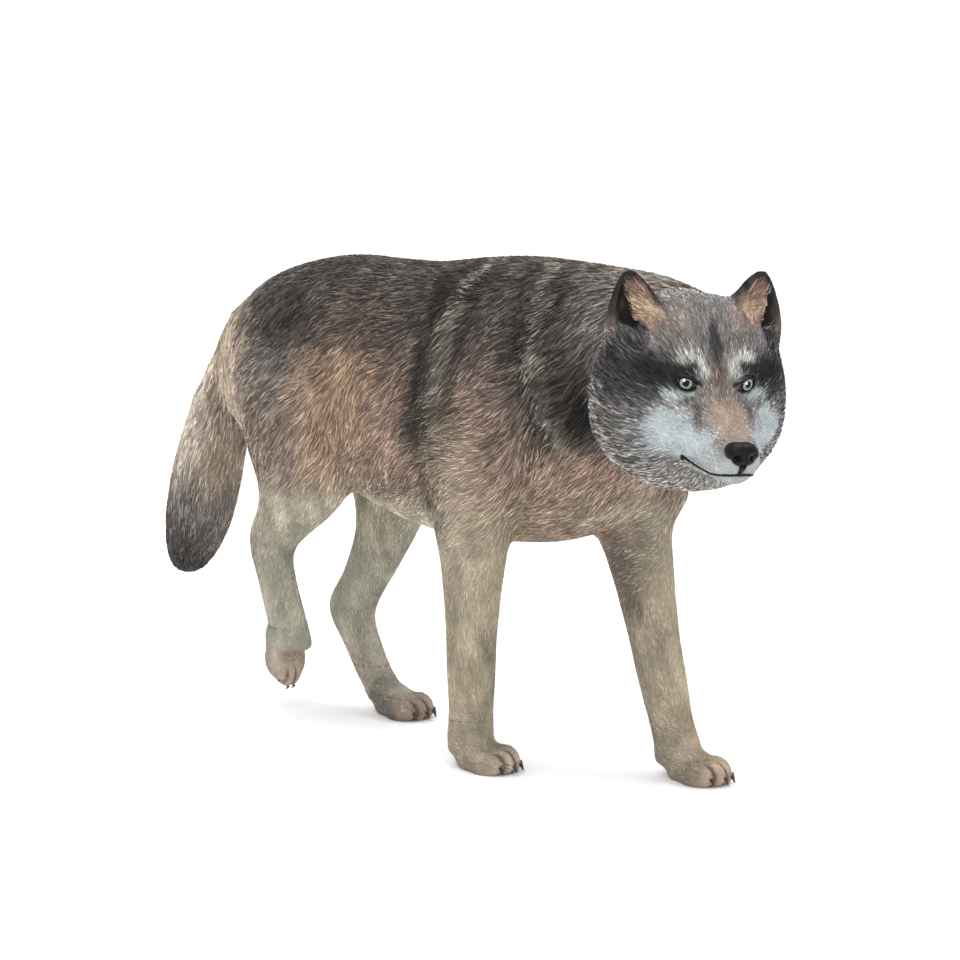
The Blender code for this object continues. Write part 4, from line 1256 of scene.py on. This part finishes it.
def head_sizes(centres):
    p = in_head(centres)
    x, y, z = np.abs(p[:, 0]), p[:, 1], p[:, 2]
    sizes = np.tile(np.array(FACE_LOCK), (len(centres), 1))
    outer = np.hypot(x / 20.5, (z + 4) / 19.5)
    ruff = above(outer, 0.82, 0.08) * above(y, -8, 2) * below(z, 9, 1.5)
    sizes = mix_sizes(sizes, RUFF_LOCK, ruff)
    sizes = mix_sizes(sizes, MUZZLE_LOCK, below(y, -16, 1.5))
    return mix_sizes(sizes, EAR_LOCK, above(z, 13.5, 0.5) * above(x, 9.8, 0.4))


def one_size(lock):
    return lambda centres: np.tile(np.array(lock), (len(centres), 1))


# %% Which part of a skin each coat covers
TAIL_FROM, LEGS_BELOW = 93.0, 64.0
SOLE_TOP, PAW_FUR_FROM = 1.0, 2.4


def bare_of_locks(centres):
    """No locks on soles, eyes and nose pad."""
    p = in_head(centres)
    x = np.abs(p[:, 0])
    keep = np.ones(len(centres))
    keep[centres[:, 2] < SOLE_TOP] = 0
    keep[(p[:, 1] < -28.0) & (x < 5.0) & (p[:, 2] > -13.6) & (p[:, 2] < -6.9)] = 0
    for across, up in EYE_PLACES.values():
        near = np.hypot((p[:, 0] - across) / 3.0, (p[:, 2] - up) / 2.1) < 1
        keep[near & (p[:, 1] < -6)] = 0
    return keep


def body_part(wanted):
    """Picks one of the body's four coats: right, left, leg or tail."""

    def choose(centres, normals):
        part = np.where(centres[:, 0] < BODY_MIDDLE, "right", "left")
        part = np.where(centres[:, 2] <= LEGS_BELOW, "leg", part)
        part = np.where(centres[:, 1] >= TAIL_FROM, "tail", part)
        return bare_of_locks(centres) * (part == wanted)

    return choose


def paw_part(centres, normals):
    return (centres[:, 2] > PAW_FUR_FROM).astype(float)


def head_part(centres, normals):
    p = in_head(centres)
    u = ear_share(p)
    hollow = (u > ear_hollow_edge(p[:, 2])) & (u < 0.74) & (p[:, 2] > 12) & (p[:, 1] < 9)
    return bare_of_locks(centres) * ~hollow


def ear_fur_part(centres, normals):
    p = in_head(centres)
    u = ear_share(p)
    front = (normals @ np.array(head_back)) < 0.2
    floor_line = 13.4 + 1.25 * np.clip(14.2 - np.abs(p[:, 0]), 0, 4.4)
    across = (u > -0.6) & (u < ear_hollow_edge(p[:, 2]) - 0.04)
    return (across & (p[:, 2] > floor_line) & (p[:, 2] < 21.5) & front).astype(float)


# %% Lay all the coats
PLAIN_PAW, TUFT = one_size(PAW_LOCK), one_size(EAR_FUR_LOCK)
coats = [
    lay_locks("right_side_coat", body_skin, body_part("right"), body_comb, body_paint, body_sizes, 21),
    lay_locks("left_side_coat", body_skin, body_part("left"), body_comb, body_paint, body_sizes, 22),
    lay_locks("leg_coat", body_skin, body_part("leg"), body_comb, body_paint, body_sizes, 25),
    lay_locks("tail_coat", body_skin, body_part("tail"), body_comb, body_paint, body_sizes, 23),
    lay_locks("head_coat", head_skin, head_part, head_comb, head_paint, head_sizes, 24, 0.10),
    lay_locks("planted_paws_coat", paws_skin, paw_part, body_comb, body_paint, PLAIN_PAW, 27),
    lay_locks("lifted_paw_coat", lifted_skin, paw_part, body_comb, body_paint, PLAIN_PAW, 28),
    lay_locks("ear_fur", head_skin, ear_fur_part, head_comb, head_paint, TUFT, 26, 0.16, 0.25),
]

# %% [markdown]
# ## Painted resin
# The casting is a hard vinyl resin under several thin coats of acrylic and a matt varnish: hardly
# any gloss, an IOR of about 1.5, and a grain so fine that only the carved fur catches the light.
# The colour comes from the coat attribute, with a slight unevenness from the brush.

# %% Material of the coat
def swing(middle, spread):
    """The settings of a Map Range that lets a noise swing a value about its middle."""
    return {"From Min": 0.3, "From Max": 0.7, "To Min": middle - spread, "To Max": middle + spread}


# the grain's size and depth in millimetres, coarser than the real one so that it shows
GRAIN, RELIEF = 0.9, 0.05
coat_paint, tree, shader, place = new_material("hand_painted_vinyl_resin")
shader.inputs["IOR"].default_value = 1.5
shader.inputs["Specular IOR Level"].default_value = 0.15
coat = node(tree, "ShaderNodeVertexColor", layer_name="coat")
grain = node(
    tree, "ShaderNodeTexNoise", {"Vector": place}, {"Scale": 1000 / GRAIN, "Detail": 3.0, "Roughness": 0.6}
)
lighten = node(tree, "ShaderNodeMapRange", {"Value": grain.outputs["Fac"]}, swing(1.0, 0.12))
rough = node(tree, "ShaderNodeMapRange", {"Value": grain.outputs["Fac"]}, swing(0.62, 0.05))
colour = node(
    tree, "ShaderNodeVectorMath",
    {0: coat.outputs["Color"], 1: lighten.outputs["Result"]}, operation="MULTIPLY",
)
relief = node(
    tree, "ShaderNodeBump", {"Height": grain.outputs["Fac"]}, {"Strength": 0.4, "Distance": RELIEF * MM}
)
tree.links.new(colour.outputs["Vector"], shader.inputs["Base Color"])
tree.links.new(rough.outputs["Result"], shader.inputs["Roughness"])
tree.links.new(relief.outputs["Normal"], shader.inputs["Normal"])
for piece in skins + coats:
    piece.data.materials.append(coat_paint)

# %% [markdown]
# ## Gloss and horn
# The eyes are acrylic paint under a drop of clear gloss varnish, the nose is satin black with the
# fine pebbles of a dog's nose, the lines are satin black paint and the claws are dark horn,
# streaked along their length. A pattern's scale is 1000 over its size in millimetres, so a scale of
# 2000 gives rays, pebbles or streaks half a millimetre wide.

# %% Material of the eyes
eye_paint, tree, shader, place = new_material("varnished_eye_paint")
shader.inputs["Roughness"].default_value = 0.08
shader.inputs["Specular IOR Level"].default_value = 0.14
from_pupil = node(tree, "ShaderNodeAttribute", attribute_name="from_pupil")
from_painted_glint = node(tree, "ShaderNodeAttribute", attribute_name="from_painted_glint")
rays = node(tree, "ShaderNodeTexNoise", {"Vector": place}, {"Scale": 2600.0, "Detail": 2.0})
wander = node(tree, "ShaderNodeMapRange", {"Value": rays.outputs["Fac"]}, swing(0.0, 0.16))
reach = node(
    tree, "ShaderNodeMath", {0: from_pupil.outputs["Fac"], 1: wander.outputs["Result"]}, operation="ADD"
)
share = node(tree, "ShaderNodeMath", {0: reach.outputs["Value"]}, {1: EYE_RADIUS}, operation="DIVIDE")
iris = node(
    tree, "ShaderNodeValToRGB", {"Fac": share.outputs["Value"]},
    stops=[(0.0, "#020202"), (0.23, "#030303"), (0.27, "#606a65"), (0.36, "#99a299"),
           (0.43, "#6d7671"), (0.48, "#191b1a"), (0.56, "#050505"), (0.80, "#5b5e5d")],
)
# painted highlight: a white dot over the iris, where a point is near the glint's spot
glint = node(
    tree, "ShaderNodeValToRGB", {"Fac": from_painted_glint.outputs["Fac"]},
    stops=[(0.26, "#ffffff"), (0.36, "#000000")],
)
with_glint = node(
    tree, "ShaderNodeMix", {0: glint.outputs["Color"], 6: iris.outputs["Color"]}, {7: shade("#ffffff")},
    data_type="RGBA",
)
tree.links.new(with_glint.outputs[2], shader.inputs["Base Color"])

# %% Materials of nose, lines and claws
def fine_paint(name, gloss, roughness, stops, scale, kind="Noise", factor="Fac", stretch=(1, 1, 1)):
    """A paint whose colour follows a fine pattern, and its roughness too if it has two values."""
    material, tree, shader, place = new_material(name)
    shader.inputs["Specular IOR Level"].default_value = gloss
    spread = node(tree, "ShaderNodeMapping", {"Vector": place}, {"Scale": stretch})
    pattern = node(tree, "ShaderNodeTex" + kind, {"Vector": spread.outputs["Vector"]}, {"Scale": scale})
    tone = node(tree, "ShaderNodeValToRGB", {"Fac": pattern.outputs[factor]}, stops=stops)
    tree.links.new(tone.outputs["Color"], shader.inputs["Base Color"])
    if isinstance(roughness, float):
        shader.inputs["Roughness"].default_value = roughness
    else:
        ends = {"To Min": roughness[0], "To Max": roughness[1]}
        rough = node(tree, "ShaderNodeMapRange", {"Value": pattern.outputs[factor]}, ends)
        tree.links.new(rough.outputs["Result"], shader.inputs["Roughness"])
    return material, tree, shader, pattern


nose_paint, tree, shader, pebbles = fine_paint(
    "satin_black_nose_paint", 0.16, (0.34, 0.5), [(0.0, "#101011"), (0.6, "#050505")], 1900.0,
    kind="Voronoi", factor="Distance",
)
relief = node(
    tree, "ShaderNodeBump", {"Height": pebbles.outputs["Distance"]},
    {"Strength": 0.5, "Distance": 0.06 * MM}, invert=True,
)
tree.links.new(relief.outputs["Normal"], shader.inputs["Normal"])
line_paint = fine_paint(
    "satin_black_line_paint", 0.15, 0.45, [(0.3, "#060606"), (0.7, "#100f0f")], 1500.0
)[0]
pit_paint = fine_paint("brown_dot_paint", 0.5, 0.6, [(0.3, "#6a615e"), (0.7, "#8f8480")], 900.0)[0]
claw_horn = fine_paint(
    "dark_horn_paint", 0.3, (0.28, 0.45), [(0.3, "#191716"), (0.75, "#4a423d")], 2200.0,
    stretch=(1.0, 0.3, 0.3),
)[0]

for material, pieces in (
    (eye_paint, eyes), (nose_paint, [nose]), (line_paint, [mouth, split]), (pit_paint, [pits]),
    (claw_horn, claws), (coat_paint, eyelids),
):
    for piece in pieces:
        piece.data.materials.clear()
        piece.data.materials.append(material)
small_pieces = eyes + eyelids + [nose, mouth, split, pits] + claws

# %% [markdown]
# ## Hand over to the frame
# Every piece rides on the one body of the casting, and the painted skin stands for its CAD solid.

# %% Ride, replace and finish
for piece in skins + coats + small_pieces:
    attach(piece, "root")
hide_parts("wolf_casting")
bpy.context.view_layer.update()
print("ready after", round(time.time() - started, 1), "s")
